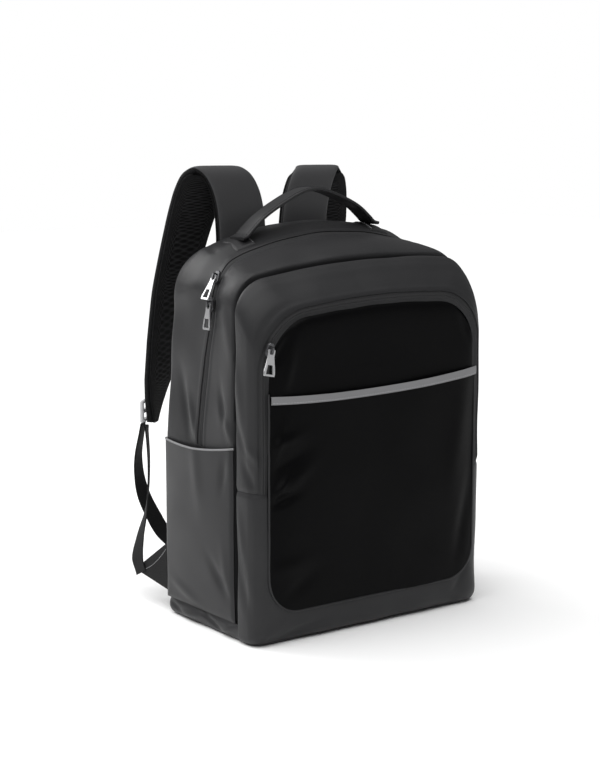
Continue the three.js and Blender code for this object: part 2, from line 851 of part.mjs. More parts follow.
// The middle of the right adjuster, on the strap's outer face above the strap's end.
function lockPlace() {
  const end = strapPlace(strapLine.at(-1));
  const out = strapThickness / 2 + gap + lockThickness / 2;
  const away = new THREE.Vector3(Math.sin(rad(lockTurn)), Math.cos(rad(lockTurn)), 0);
  return end.addScaledVector(away, out).add(new THREE.Vector3(0, 0, lockRise));
}

const tabInner = halfWidth * mainSections[0].low - tabThickness / 2;

function tabTipPlace() {
  const y = rearEdge + tabReach - tabTip / 2;
  return new THREE.Vector3(tabInner + tabThickness, y, tabLift + 1.5 * tabTip);
}

// The adjuster: a plastic frame with a middle bar.
function ladderLock() {
  const half = lockWidth / 2;
  const tall = lockHeight / 2;
  const cut = lockChamfer;
  const frame = new THREE.Shape();
  frame.moveTo(-half + cut, -tall);
  frame.lineTo(half - cut, -tall);
  frame.lineTo(half, -tall + cut);
  frame.lineTo(half, tall - cut);
  frame.lineTo(half - cut, tall);
  frame.lineTo(-half + cut, tall);
  frame.lineTo(-half, tall - cut);
  frame.lineTo(-half, -tall + cut);
  const windowHeight = (lockHeight - 3 * lockBar) / 2;
  for (const middle of [(windowHeight + lockBar) / 2, -(windowHeight + lockBar) / 2]) {
    const hole = new THREE.Path();
    hole.moveTo(-half + lockBar, middle - windowHeight / 2);
    hole.lineTo(-half + lockBar, middle + windowHeight / 2);
    hole.lineTo(half - lockBar, middle + windowHeight / 2);
    hole.lineTo(half - lockBar, middle - windowHeight / 2);
    frame.holes.push(hole);
  }
  const geometry = new THREE.ExtrudeGeometry(frame, { depth: lockThickness, bevelEnabled: false });
  geometry.translate(0, 0, -lockThickness / 2);
  geometry.rotateX(Math.PI / 2);
  return geometry;
}

// A band of webbing through the rows of a table, on the right. A share of 0 in the behind column
// lies at start, and one of 1 at end.
function webbingBand(table, start, end) {
  const top = lockPlace();
  const tip = tabTipPlace();
  const beside = gap + webbingThickness / 2;
  const places = table.map((row) => {
    const x = mid(top.x, tip.x + beside, row.side);
    return new THREE.Vector3(x, mid(start, end, row.behind), mid(tip.z, top.z, row.up));
  });
  const stations = smooth(places, 14).map(({ place, row }) => ({
    place,
    half: webbingWidth / 2,
    low: -webbingThickness / 2,
    high: webbingThickness / 2,
    side: twisted(column(table, "turn", row)),
  }));
  return ribbon(stations, webbingRound);
}

const lowerWebbing = () => webbingBand(webbingLine, tabTipPlace().y, lockPlace().y);
const webbingTail = () => webbingBand(tailLine, lockPlace().y, tailReach);

// The folded tab sewn into the back edge near the base, a triangle seen from the side.
function anchorTab() {
  const root = rearEdge + gap;
  const shape = new THREE.Shape();
  shape.moveTo(root, tabLift);
  shape.lineTo(root + tabReach, tabLift + tabTip);
  shape.lineTo(root + tabReach, tabLift + 2 * tabTip);
  shape.lineTo(root, tabLift + tabHeight);
  const geometry = new THREE.ExtrudeGeometry(shape, { depth: tabThickness, bevelEnabled: false });
  geometry.applyMatrix4(sideways);
  geometry.translate(tabInner, 0, 0);
  return geometry;
}

// A slider lying on local z = 0 with its bail; local y runs up the zip and z away from the bag.
const pinHeight = sliderThickness + pullPin / 2 + pullClearance;

function slider() {
  const half = sliderWidth / 2;
  const long = sliderLength / 2;
  const nose = sliderNose;
  const body = new THREE.Shape();
  body.moveTo(-half + nose, -long);
  body.lineTo(half - nose, -long);
  body.lineTo(half, -long + nose * 1.6);
  body.lineTo(half * 0.72, long - nose);
  body.lineTo(half * 0.3, long);
  body.lineTo(-half * 0.3, long);
  body.lineTo(-half * 0.72, long - nose);
  body.lineTo(-half, -long + nose * 1.6);
  const plate = new THREE.ExtrudeGeometry(body, {
    depth: sliderThickness - 2 * sliderBevel,
    bevelEnabled: true,
    bevelThickness: sliderBevel,
    bevelSize: sliderBevel,
    bevelSegments: 1,
  });
  plate.translate(0, 0, sliderBevel);
  const inside = pinHeight + pullPin / 2 + pullClearance;
  const outerHalf = bailHalf + bailWire;
  const root = sliderThickness - bailRoot;
  const arch = new THREE.Shape();
  arch.moveTo(-outerHalf, root);
  arch.lineTo(-bailHalf, root);
  arch.lineTo(-bailHalf, inside - bailChamfer);
  arch.lineTo(-bailHalf + bailChamfer, inside);
  arch.lineTo(bailHalf - bailChamfer, inside);
  arch.lineTo(bailHalf, inside - bailChamfer);
  arch.lineTo(bailHalf, root);
  arch.lineTo(outerHalf, root);
  arch.lineTo(outerHalf, inside);
  arch.lineTo(bailHalf, inside + bailWire);
  arch.lineTo(-bailHalf, inside + bailWire);
  arch.lineTo(-outerHalf, inside);
  const bail = new THREE.ExtrudeGeometry(arch, { depth: bailWidth, bevelEnabled: false });
  bail.translate(0, 0, -bailWidth / 2);
  bail.applyMatrix4(sideways);
  return geometryOf(solid(plate).add(solid(bail)));
}

// The pull: a flared tab whose top bar is its pin, hanging down local -y from the pin's middle.
function pull() {
  const top = pullTopWidth / 2;
  const foot = pullFootWidth / 2;
  const bar = pullPin / 2;
  const bottom = -pullLength + bar;
  const bailRoom = bailHalf + bailWire + pullClearance;
  const shape = new THREE.Shape();
  const neck = top * 0.86;
  const flare = bottom + pullWindow / 2;
  const cut = pullChamfer;
  shape.moveTo(-top + cut, bar);
  shape.lineTo(top - cut, bar);
  shape.lineTo(top, bar - cut);
  shape.lineTo(neck, -bailRoom - pullRim);
  shape.lineTo(foot, flare);
  shape.lineTo(foot, bottom + cut);
  shape.lineTo(foot - cut, bottom);
  shape.lineTo(-foot + cut, bottom);
  shape.lineTo(-foot, bottom + cut);
  shape.lineTo(-foot, flare);
  shape.lineTo(-neck, -bailRoom - pullRim);
  shape.lineTo(-top, bar - cut);
  const eye = new THREE.Path();
  const eyeHalf = top - pullPin;
  const eyeFoot = neck - pullPin;
  eye.moveTo(-eyeHalf, -bar);
  eye.lineTo(-eyeFoot, -bailRoom);
  eye.lineTo(eyeFoot, -bailRoom);
  eye.lineTo(eyeHalf, -bar);
  const slot = new THREE.Path();
  const slotTop = bottom + pullRim + pullWindow;
  slot.moveTo(-foot + pullRim, bottom + pullRim);
  slot.lineTo(foot - pullRim, bottom + pullRim);
  slot.lineTo(mid(foot, neck, 0.45) - pullRim, slotTop);
  slot.lineTo(-mid(foot, neck, 0.45) + pullRim, slotTop);
  shape.holes.push(eye, slot);
  const geometry = new THREE.ExtrudeGeometry(shape, { depth: pullPin, bevelEnabled: false });
  geometry.translate(0, 0, -pullPin / 2);
  return geometry;
}

// A point of the main zip on the left side at a height, with the direction away from the bag.
function mainZipSpot(z) {
  const share = z / bodyHeight;
  const next = Math.max(mainZipLine.findIndex((row) => row.height >= share), 1);
  const [a, b] = [mainZipLine[next - 1], mainZipLine[next]];
  const forward = mid(a.forward, b.forward, (share - a.height) / (b.height - a.height));
  const y = -forward * creaseDepth;
  const points = outline(mainSection(mainRowAt(y), coilRise, seamHeight));
  const left = points.filter(([x, height]) => x < 0 && height > pocketMouth / 2);
  const i = left.findIndex(([, height]) => height <= z);
  const [high, low] = [left[i - 1], left[i]];
  const x = mid(low[0], high[0], (z - low[1]) / (high[1] - low[1]));
  const slope = Math.atan2(high[0] - low[0], high[1] - low[1]);
  return { place: new THREE.Vector3(x, y, z + settle(x, z)), slope };
}

// Where a line that runs down the left side passes a height, or its highest place above it.
function crossing(points, z) {
  const i = Math.max(points.findIndex(([, height]) => height <= z), 1);
  const [high, low] = [points[i - 1], points[i]];
  const t = Math.min((z - low[1]) / (high[1] - low[1]), 1);
  return { x: mid(low[0], high[0], t), slope: Math.atan2(high[0] - low[0], high[1] - low[1]) };
}

// A point of the front zip on the left side at a height, on the front compartment's skin.
function frontZipSpot(z) {
  const line = doorShape(frontZipWidth / 2).getPoints(12).map(({ x, y }) => [x, y]);
  const { x, slope } = crossing(line.slice(line.length / 2).filter((point) => point[0] < 0), z);
  const skin = frontSections.map((row) => {
    const points = outline(frontSection(row, 0, seamHeight + gap));
    const left = points.filter(([side, height]) => side < 0 && height > frontZipEnd / 2);
    const inside = left.some(([, height]) => height > z);
    return { x: inside ? crossing(left, z).x : 0, out: row.out };
  });
  const next = skin.findLastIndex((row) => row.x <= x) + 1;
  const [a, b] = [skin[next - 1], skin[next] ?? skin.at(-1)];
  const out = mid(a.out, b.out, (x - a.x) / (b.x - a.x || 1));
  const y = -creaseDepth - gap - out * (frontReach - gap);
  return { place: new THREE.Vector3(x, y, z + settle(x, z)), slope };
}

const group = new THREE.Group();
group.name = "laptop_backpack";

function add(name, shape, material, parent = group) {
  const geometry = shape.getMesh ? geometryOf(shape) : shape;
  geometry.computeVertexNormals();
  const mesh = new THREE.Mesh(geometry, material);
  mesh.name = name;
  parent.add(mesh);
  return mesh;
}

// A soft piece of the bag's body, which leans as the whole bag does.
function addSettled(name, shape, material) {
  const geometry = shape.getMesh ? geometryOf(shape) : shape;
  const place = geometry.attributes.position;
  for (let i = 0; i < place.count; i++) {
    place.setZ(i, place.getZ(i) + settle(place.getX(i), place.getZ(i)));
  }
  return add(name, geometry, material);
}

// A slider and its pull in a frame of their own: local z away from the bag, local y up the zip.
function addSlider(names, place, basis) {
  const seat = new THREE.Group();
  seat.applyMatrix4(basis);
  seat.position.copy(place);
  group.add(seat);
  add(names.slider, slider(), darkMetal(), seat);
  const tab = add(names.pull, pull(), brightMetal(), seat);
  tab.position.set(0, 0, pinHeight);
  tab.rotation.x = -rad(pullHang);
}

addSettled("base_panel", basePanel(), bodyCloth());
addSettled("main_shell", mainShell(), bodyCloth());
addSettled("main_zip", mainZip(), zipTape());
addSettled("compartment_wall", compartmentWall(), padCloth());
addSettled("back_panel", backPanel(), padCloth());
addSettled("front_shell_upper", frontShellUpper(), bodyCloth());
addSettled("front_shell_lower", frontShellLower(), bodyCloth());
addSettled("front_zip", frontZip(), zipTape());
addSettled("front_door", frontDoor(), doorCloth());
addSettled("slip_pocket", slipPocket(), doorCloth());
addSettled("slip_pocket_trim", slipTrim(), greyTrim());
addSettled("handle", handle(), bodyCloth());
for (const [name, side] of [["left", -1], ["right", 1]]) {
  const onSide = (geometry) => (side > 0 ? geometry : mirrored(geometry));
  addSettled(`side_pocket_${name}`, onSide(sidePocket()), bodyCloth());
  addSettled(`side_pocket_trim_${name}`, onSide(sidePocketTrim()), greyTrim());
  addSettled(`handle_patch_${name}`, handlePatch(side), bodyCloth());
  add(`shoulder_strap_${name}`, onSide(strapPad()), padCloth());
  add(`strap_mesh_${name}`, onSide(strapMesh()), meshCloth());
  const lock = add(`ladder_lock_${name}`, ladderLock(), greyPlastic());
  lock.position.copy(lockPlace());
  lock.position.x *= side;
  lock.rotation.z = -side * rad(lockTurn);
  add(`strap_webbing_${name}`, onSide(lowerWebbing()), webbing());
  add(`webbing_tail_${name}`, onSide(webbingTail()), webbing());
  add(`anchor_tab_${name}`, onSide(anchorTab()), bodyCloth());
}

const mainSliders = [
  { name: "upper", height: bodyHeight - upperSliderDrop, lift: upperLift },
  { name: "lower", height: bodyHeight - lowerSliderDrop, lift: lowerLift },
];
for (const { name, height, lift } of mainSliders) {
  const spot = mainZipSpot(height);
  const slope = spot.slope * sliderEase;
  const away = new THREE.Vector3(-Math.cos(slope), 0, Math.sin(slope));
  const up = new THREE.Vector3(Math.sin(slope), 0, Math.cos(slope));
  const basis = new THREE.Matrix4().makeBasis(up.clone().cross(away), up, away);
  const place = spot.place.addScaledVector(away, sliderGap + lift);
  addSlider({ slider: `main_slider_${name}`, pull: `main_pull_${name}` }, place, basis);
}

const frontSpot = frontZipSpot(doorTop - frontSliderDrop);
const frontTilt = frontSpot.slope * frontEase;
const frontUp = new THREE.Vector3(Math.sin(frontTilt), 0, Math.cos(frontTilt));
const frontAway = new THREE.Vector3(0, -1, 0);
const frontBasis = new THREE.Matrix4().makeBasis(
  frontUp.clone().cross(frontAway),
  frontUp,
  frontAway,
);
const frontSeat = frontSpot.place.addScaledVector(frontAway, coilRise + sliderGap + frontLift);
addSlider({ slider: "front_slider", pull: "front_pull" }, frontSeat, frontBasis);

export default group;
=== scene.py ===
import math
from contextlib import contextmanager

import bpy
import numpy as np
from mathutils import Matrix, Vector, noise


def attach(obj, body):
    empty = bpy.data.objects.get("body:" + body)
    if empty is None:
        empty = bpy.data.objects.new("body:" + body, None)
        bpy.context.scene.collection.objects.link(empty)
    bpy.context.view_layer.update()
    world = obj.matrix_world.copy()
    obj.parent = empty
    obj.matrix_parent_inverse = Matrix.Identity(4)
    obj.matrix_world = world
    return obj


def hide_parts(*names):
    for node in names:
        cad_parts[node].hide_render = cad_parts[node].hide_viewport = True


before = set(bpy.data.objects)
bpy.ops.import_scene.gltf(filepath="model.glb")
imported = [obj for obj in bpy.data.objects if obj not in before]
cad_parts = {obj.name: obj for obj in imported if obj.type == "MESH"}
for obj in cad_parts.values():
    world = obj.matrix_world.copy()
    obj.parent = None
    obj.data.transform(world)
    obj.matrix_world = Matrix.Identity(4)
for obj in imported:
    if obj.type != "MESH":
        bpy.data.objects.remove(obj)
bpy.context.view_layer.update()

bl_info = {
    "name": "Laptop backpack",
    "version": (1, 0, 0),
    "blender": (4, 5, 0),
    "location": "View3D > Sidebar > Backpack",
    "description": "Dresses the packed laptop backpack in cloth, padding, zips and trim",
    "category": "Object",
}

BAG = "bag"
MM = 0.001
SIDES = (("left", -1), ("right", 1))
# The gap between two pieces that rest on each other, as in the CAD model.
REST_GAP = 0.0003
# Thickness of the zips' tapes and of the slip pocket's trim, and of an unlined pocket's cloth.
TAPE = 0.0008
SINGLE_CLOTH = 0.0014
PIPING_RADIUS = 0.0011
# A front shoulder turns through these degrees before the crown takes over.
ARCH_SWEEP = 84
# How far a rounded corner's middle lies in from the square one, as a share of its radius.
DIAGONAL = 0.29


def table(keys, *rows):
    """A short table as a list of rows, each with its named values."""
    return [dict(zip(keys.split(), row)) for row in rows]


# Sections of the main compartment, from the back edge to the crease. back is a share of its depth,
# low and shoulder of the half width, top of the height, corner of the shoulder radius.
MAIN_SECTIONS = table(
    "back low shoulder top corner sweep",
    (0.0, 0.985, 0.915, 0.978, 1.0, 73),
    (0.05, 1.0, 0.926, 0.988, 1.0, 73),
    (0.18, 1.0, 0.93, 1.0, 1.0, 73),
    (0.33, 1.0, 0.94, 1.0, 1.0, 73),
    (0.56, 1.0, 0.953, 0.976, 1.0, 73),
    (0.75, 1.0, 0.973, 0.961, 0.9, 76),
    (0.91, 1.0, 0.993, 0.937, 0.8, 81),
    (1.0, 0.99, 0.987, 0.916, 0.77, 84),
)

# Sections of the front compartment, from the crease to its face. out is a share of its reach, half
# of the half width, top and bottom of the front height, corner and foot of the front radius.
FRONT_SECTIONS = table(
    "out half top corner bottom foot",
    (0.0, 0.985, 0.995, 0.95, 0.002, 0.2),
    (0.12, 1.007, 1.0, 1.0, 0.002, 0.2),
    (0.36, 1.01, 0.984, 1.06, 0.002, 0.2),
    (0.56, 1.007, 0.963, 1.15, 0.003, 0.22),
    (0.76, 0.991, 0.942, 1.3, 0.006, 0.3),
    (0.9, 0.955, 0.925, 1.45, 0.016, 0.5),
    (0.975, 0.91, 0.91, 1.45, 0.035, 0.75),
    (1.0, 0.87, 0.895, 1.4, 0.06, 0.95),
    (1.012, 0.5, 0.72, 1.0, 0.3, 1.0),
)

# The main zip's middle line: forward and height are shares of the crease depth and the body height.
MAIN_ZIP_LINE = table(
    "forward height",
    (-0.19, 0.0),
    (-0.19, 0.5),
    (-0.17, 0.575),
    (-0.06, 0.675),
    (0.12, 0.78),
    (0.18, 0.84),
    (0.12, 0.905),
    (-0.04, 0.95),
    (-0.07, 1.1),
)

# The handle's middle line: out as a share of half its span, rise from its ends to its top.
HANDLE_LINE = table(
    "out rise",
    (-1.0, 0.0),
    (-0.93, 0.05),
    (-0.86, 0.18),
    (-0.7, 0.45),
    (-0.42, 0.75),
    (-0.15, 0.96),
    (0.0, 1.0),
    (0.15, 0.96),
    (0.42, 0.75),
    (0.7, 0.45),
    (0.86, 0.18),
    (0.93, 0.05),
    (1.0, 0.0),
)

# A shoulder strap's middle line from its root, over the peak and down to its tip.
STRAP_LINE = table(
    "side behind up wide turn",
    (0.0, 0.0, 0.8, 1.0, 0),
    (0.0, 0.0, 0.86, 1.0, 0),
    (0.04, 0.0, 0.915, 1.0, 0),
    (0.13, 0.01, 0.96, 1.0, 0),
    (0.26, 0.04, 0.99, 1.0, 0),
    (0.4, 0.09, 1.0, 1.0, 0),
    (0.53, 0.15, 0.99, 1.0, 0),
    (0.63, 0.21, 0.96, 1.0, 2),
    (0.7, 0.28, 0.915, 1.0, 4),
    (0.75, 0.37, 0.865, 1.0, 8),
    (0.77, 0.585, 0.775, 1.0, 13),
    (0.77, 0.73, 0.716, 1.0, 17),
    (0.8, 0.893, 0.604, 0.98, 24),
    (0.86, 0.988, 0.508, 0.88, 31),
    (0.92, 1.0, 0.46, 0.7, 37),
    (1.0, 0.965, 0.405, 0.25, 42),
)

# The adjuster stands turned like the strap's tip.
LOCK_TURN = STRAP_LINE[-1]["turn"]

# The webbing from the adjuster to the tab, and its free tail.
WEBBING_LINE = table(
    "side behind up turn",
    (0.0, 1.0, 0.9, 46),
    (0.0, 0.96, 0.86, 52),
    (0.04, 0.83, 0.66, 54),
    (0.22, 0.64, 0.47, 56),
    (0.48, 0.43, 0.34, 62),
    (0.8, 0.27, 0.19, 76),
    (1.0, 0.12, 0.07, 90),
    (1.0, -0.04, -0.02, 90),
)
TAIL_LINE = table(
    "side behind up turn",
    (0.04, 0.18, 0.918, 46),
    (0.05, 0.35, 0.85, 44),
    (0.06, 0.81, 0.675, 38),
    (0.0, 0.94, 0.54, 31),
    (-0.06, 0.62, 0.41, 20),
    (-0.18, -0.12, 0.28, 10),
    (-0.32, -0.94, 0.17, 5),
    (-0.62, -1.9, 0.08, 0),
)

# Folds in the cloth, in millimetres: a middle point, the way the fold runs, how long and wide it is
# to each side, and how far it stands out, or in where it is negative.
MAIN_FOLDS = table(
    "at along long wide deep",
    ((-148, 42, 232), (0, 0.35, 1), 34, 7, -1.8),
    ((-148, 30, 222), (0, 0.5, 1), 26, 6, 1.6),
    ((-148, -30, 232), (0, 0.25, 1), 22, 5, -1.6),
    ((-148, -40, 214), (0, 0.8, 1), 20, 6, 1.5),
    ((-140, 45, 352), (0.2, 1, -0.4), 34, 12, 1.4),
    ((-118, 30, 396), (0.5, 1, 0), 26, 5, -2.2),
    ((-104, 8, 399), (1, 0.9, 0.1), 22, 4, -2.0),
    ((-110, 20, 398), (0.9, 0.6, 0.1), 24, 5, 1.8),
    ((104, -18, 400), (1, 0.5, 0), 22, 6, -1.6),
    ((-142, -36, 322), (0, 0.25, 1), 40, 7, 1.0),
)
FRONT_FOLDS = table(
    "at along long wide deep",
    ((-145, -74, 176), (0, 0.5, 1), 16, 5, -2.2),
    ((-143, -80, 196), (0, 0.9, 1), 15, 5, 1.8),
    ((-146, -66, 208), (0, 0.4, 1), 18, 5, -1.4),
    ((-147, -62, 252), (0, 0.15, 1), 30, 6, 1.0),
    ((-146, -68, 60), (0, 0.35, 1), 28, 7, -1.6),
    ((-147, -64, 112), (0, 0.2, 1), 30, 6, 1.2),
    ((-128, -84, 16), (1, 0, 0.5), 22, 6, 1.6),
    ((-96, -88, 12), (1, 0, 0.2), 30, 5, -1.4),
    ((60, -89, 20), (1, 0, -0.3), 34, 7, 1.2),
    ((118, -86, 30), (0.5, 0, 1), 20, 6, -2.0),
)
DOOR_FOLDS = table(
    "at along long wide deep",
    ((-118, -92, 300), (0.6, 0, 1), 18, 5, -1.6),
    ((-112, -92, 276), (0.25, 0, 1), 22, 6, 1.2),
    ((120, -92, 300), (-0.5, 0, 1), 20, 6, -1.4),
)
SLIP_FOLDS = table(
    "at along long wide deep",
    ((-128, -95, 196), (0.3, 0, 1), 22, 5, 2.6),
    ((-120, -95, 206), (1, 0, 0.35), 20, 6, 1.6),
    ((-112, -95, 188), (1, 0, 0.5), 22, 7, -1.8),
    ((-126, -95, 158), (0.8, 0, 1), 15, 4, 2.6),
    ((-118, -95, 150), (1, 0, 0.4), 16, 5, -2.2),
    ((-110, -96, 166), (1, 0, 0.7), 24, 7, 1.4),
    ((-112, -95, 80), (1, 0, 0.2), 26, 9, 1.4),
    ((-96, -95, 60), (1, 0, 0.6), 22, 8, -1.2),
    ((118, -95, 100), (0.2, 0, 1), 40, 9, -1.6),
    ((104, -95, 180), (0.15, 0, 1), 50, 12, 1.0),
)
POCKET_FOLDS = table(
    "at along long wide deep",
    ((-151, -36, 170), (0, -0.2, 1), 16, 5, -1.8),
    ((-152, 10, 170), (0, 0.15, 1), 36, 9, 0.9),
    ((-151, -30, 58), (0, 0.9, 1), 24, 6, -1.8),
    ((-151, -40, 66), (0, 0.2, 1), 24, 6, 1.3),
    ((-151, 40, 34), (0, 1, 0.3), 30, 6, 1.2),
)
BASE_FOLDS = table(
    "at along long wide deep",
    ((-148, 30, 8), (0, 1, -0.15), 34, 4, 1.4),
    ((-148, -10, 10), (0, 1, 0.35), 18, 3, -1.4),
    ((-148, -36, 9), (0, 1, -0.4), 14, 3, 1.6),
    ((-148, 62, 11), (0, 1, 0.3), 16, 3, -1.2),
)


def metres(name, text, default):
    return bpy.props.FloatProperty(
        name=name, description=text, default=default, min=0.0, unit="LENGTH", precision=4
    )


def colour(name, text, default):
    return bpy.props.FloatVectorProperty(
        name=name, description=text, default=default, min=0, max=1, size=3, subtype="COLOR"
    )


class BagSizes(bpy.types.PropertyGroup):
    body_width: metres("Body width", "Width of the bag's body", 0.296)
    body_height: metres("Body height", "Height of the bag's body", 0.411)
    rear_edge: metres("Rear edge", "From the origin back to the body's rear edge", 0.079)
    crease_depth: metres("Crease depth", "From the origin forward to the crease", 0.052)
    front_reach: metres("Front reach", "Depth of the front compartment", 0.038)
    front_height: metres("Front height", "Height of the front compartment", 0.376)
    shoulder_radius: metres("Shoulder radius", "Radius of the body's shoulders", 0.045)
    front_radius: metres("Front radius", "Radius of the front compartment's shoulders", 0.037)
    slump: metres("Slump", "How far the right shoulder stands above the left one", 0.010)
    cloth: metres("Cloth thickness", "Thickness of a lined cloth wall", 0.0018)
    seam_height: metres("Seam height", "Height of the seam above the base", 0.018)
    zip_width: metres("Zip width", "Width of each zip between its two cloth edges", 0.010)
    main_zip_end: metres("Main zip end", "Height where the main zip ends", 0.191)
    front_zip_end: metres("Front zip end", "Height where the front zip ends", 0.156)


class PocketSizes(bpy.types.PropertyGroup):
    door_width: metres("Door width", "Width of the front door", 0.266)
    door_top: metres("Door top", "Height of the door's top edge", 0.335)
    door_bottom: metres("Door bottom", "Height of the door's bottom edge", 0.033)
    door_corner: metres("Door corner", "Radius of the door's top corners", 0.052)
    door_foot: metres("Door foot", "Radius of the door's bottom corners", 0.036)
    door_crown: metres("Door crown", "Rise of the door's top edge towards its middle", 0.005)
    slip_mouth: metres("Slip pocket mouth", "Height of the slip pocket's mouth", 0.256)
    slip_bulge: metres("Slip pocket bulge", "How far the slip pocket stands out", 0.0054)
    trim_height: metres("Trim height", "Height of the trim along the slip pocket's mouth", 0.008)
    side_mouth: metres("Side pocket mouth", "Height of the side pockets' mouths", 0.190)
    side_bulge: metres("Side pocket bulge", "How far the side pockets stand out", 0.0052)
    side_dip: metres("Side pocket dip", "Dip of the side pockets' mouths", 0.003)


class StrapSizes(bpy.types.PropertyGroup):
    handle_width: metres("Handle width", "Width of the handle's band", 0.025)
    handle_thickness: metres("Handle thickness", "Thickness of the handle's band", 0.0036)
    handle_place: metres("Handle place", "From the origin back to the handle", 0.029)
    handle_span: metres("Handle span", "Distance between the handle's ends", 0.178)
    handle_top: metres("Handle top", "Height of the handle's middle line", 0.446)
    strap_width: metres("Strap width", "Width of a shoulder strap", 0.060)
    strap_thickness: metres("Strap thickness", "Thickness of a shoulder strap", 0.010)
    strap_lining: metres("Strap lining", "Thickness of the strap's mesh lining", 0.0024)
    strap_root: metres("Strap root", "From the middle out to a strap's root", 0.041)
    strap_peak: metres("Strap peak", "Height of the strap's highest place", 0.465)
    strap_reach: metres("Strap reach", "From the origin back to the strap's furthest place", 0.176)
    strap_spread: metres("Strap spread", "From the middle out to the strap's tip", 0.106)
    webbing_width: metres("Webbing width", "Width of the webbing", 0.022)
    webbing_thickness: metres("Webbing thickness", "Thickness of the webbing", 0.0016)
    tail_reach: metres("Tail reach", "From the origin back to the free tail's bow", 0.196)


class BagColours(bpy.types.PropertyGroup):
    body: colour("Body cloth", "Coated cloth of the body", (0.023, 0.023, 0.0242))
    door: colour("Door cloth", "Cloth of the door and its slip pocket", (0.0022, 0.0022, 0.0024))
    pad: colour("Strap cloth", "Cloth of the shoulder straps", (0.055, 0.055, 0.057))
    mesh: colour("Mesh", "Spacer mesh of the straps and the back", (0.007, 0.007, 0.0074))
    webbing: colour("Webbing", "Woven webbing and its tabs", (0.012, 0.012, 0.0125))
    trim: colour("Trim", "Grey trim of the pockets", (0.19, 0.19, 0.195))
    tape: colour("Zip tape", "Tape and coil of the zips", (0.022, 0.022, 0.023))
    thread: colour("Thread", "Pale stitching", (0.32, 0.32, 0.33))
    plastic: colour("Plastic", "Strap adjusters", (0.62, 0.62, 0.63))
    slider: colour("Slider metal", "Zip sliders", (0.10, 0.10, 0.105))
    pull: colour("Pull metal", "Zip pulls", (0.62, 0.62, 0.63))


def bag():
    return bpy.context.scene.bag_sizes


def pockets():
    return bpy.context.scene.pocket_sizes


def straps():
    return bpy.context.scene.strap_sizes


def colours():
    return bpy.context.scene.bag_colours


def mix(a, b, share):
    return a + (b - a) * share


def curve_between(value, slope, step, i, t):
    """A smooth curve from row i to the next one, at share t of the way."""
    start = value[i] * (1 + 2 * t) * (1 - t) ** 2 + slope[i] * step * t * (1 - t) ** 2
    end = value[i + 1] * t**2 * (3 - 2 * t) + slope[i + 1] * step * t**2 * (t - 1)
    return start + end


def through(rows, key, places, by):
    """A smooth value between the rows of a short table, with no overshoot."""
    at = np.array([row[by] for row in rows], float)
    value = np.array([row[key] for row in rows], float)
    step = np.diff(at)
    rise = np.diff(value) / step
    slope = np.zeros(len(at))
    slope[0], slope[-1] = rise[0], rise[-1]
    both = rise[:-1] * rise[1:]
    total = rise[:-1] + rise[1:]
    safe = np.where(both > 0, total, 1)
    slope[1:-1] = np.where(both > 0, 2 * both / safe, 0)
    i = np.clip(np.searchsorted(at, places, side="right") - 1, 0, len(step) - 1)
    t = np.clip((places - at[i]) / step[i], 0, 1)
    return curve_between(value, slope, step[i], i, t)


def settle(points):
    """The bag leans a little: its right shoulder stands higher than its left one."""
    lean = bag().slump * points[..., 0] / (bag().body_width / 2)
    share = np.clip(points[..., 2] / bag().body_height, 0, None)
    points[..., 2] += lean * share**3
    return points


def crown_of(form):
    """Where a section's crown starts, as x, and how far it rises from there to its middle."""
    sweep = np.radians(form["sweep"])
    flat = form["shoulder"] - form["corner"] * (1 - np.cos(sweep))
    return flat, flat * np.tan(np.pi / 2 - sweep) / 2


def half_outline(share, form, foot_end, side_end, corner_end):
    """Half of a section seen from the front: foot, side, shoulder and crown."""
    sweep = np.radians(form["sweep"])
    flat, crown = crown_of(form)
    spring = form["top"] - crown - form["corner"] * np.sin(sweep)
    base = form["bottom"] + form["foot"]
    turn = -np.pi / 2 * (1 - share / max(foot_end, 1e-9))
    foot_x = form["low"] - form["foot"] * (1 - np.cos(turn))
    foot_z = base + form["foot"] * np.sin(turn)
    along = (share - foot_end) / (side_end - foot_end)
    side_z = mix(base, spring, along)
    taper = np.clip((side_z - form["waist"]) / (spring - form["waist"]), 0, 1)
    side_x = mix(form["low"], form["shoulder"], taper)
    bend = sweep * (share - side_end) / (corner_end - side_end)
    corner_x = form["shoulder"] - form["corner"] * (1 - np.cos(bend))
    corner_z = spring + form["corner"] * np.sin(bend)
    crown_x = flat * (1 - (share - corner_end) / (1 - corner_end))
    crown_z = form["top"] - crown * (crown_x / flat) ** 2
    part = [share < foot_end, share < side_end, share < corner_end]
    x = np.select(part, [foot_x, side_x, corner_x], crown_x)
    z = np.select(part, [foot_z, side_z, corner_z], crown_z)
    return x, z


def main_form(back, bottom):
    """The main compartment's section at a share of its depth from the back edge."""
    size = bag()
    half = size.body_width / 2
    scale = {
        "low": half, "shoulder": half, "top": size.body_height, "corner": size.shoulder_radius, "sweep": 1
    }
    form = {key: through(MAIN_SECTIONS, key, back, "back") * by for key, by in scale.items()}
    return {**form, "bottom": bottom, "foot": 0.001, "waist": pockets().side_mouth}


def main_points(u, back, bottom=None):
    """The main compartment's skin; u runs from the right foot over the top to the left foot."""
    size = bag()
    bottom = size.seam_height if bottom is None else bottom
    x, z = half_outline(1 - np.abs(2 * u - 1), main_form(back, bottom), 0.004, 0.56, 0.78)
    y = size.rear_edge - back * (size.rear_edge + size.crease_depth)
    return np.stack([np.where(u < 0.5, x, -x), y + 0 * x, z], -1)


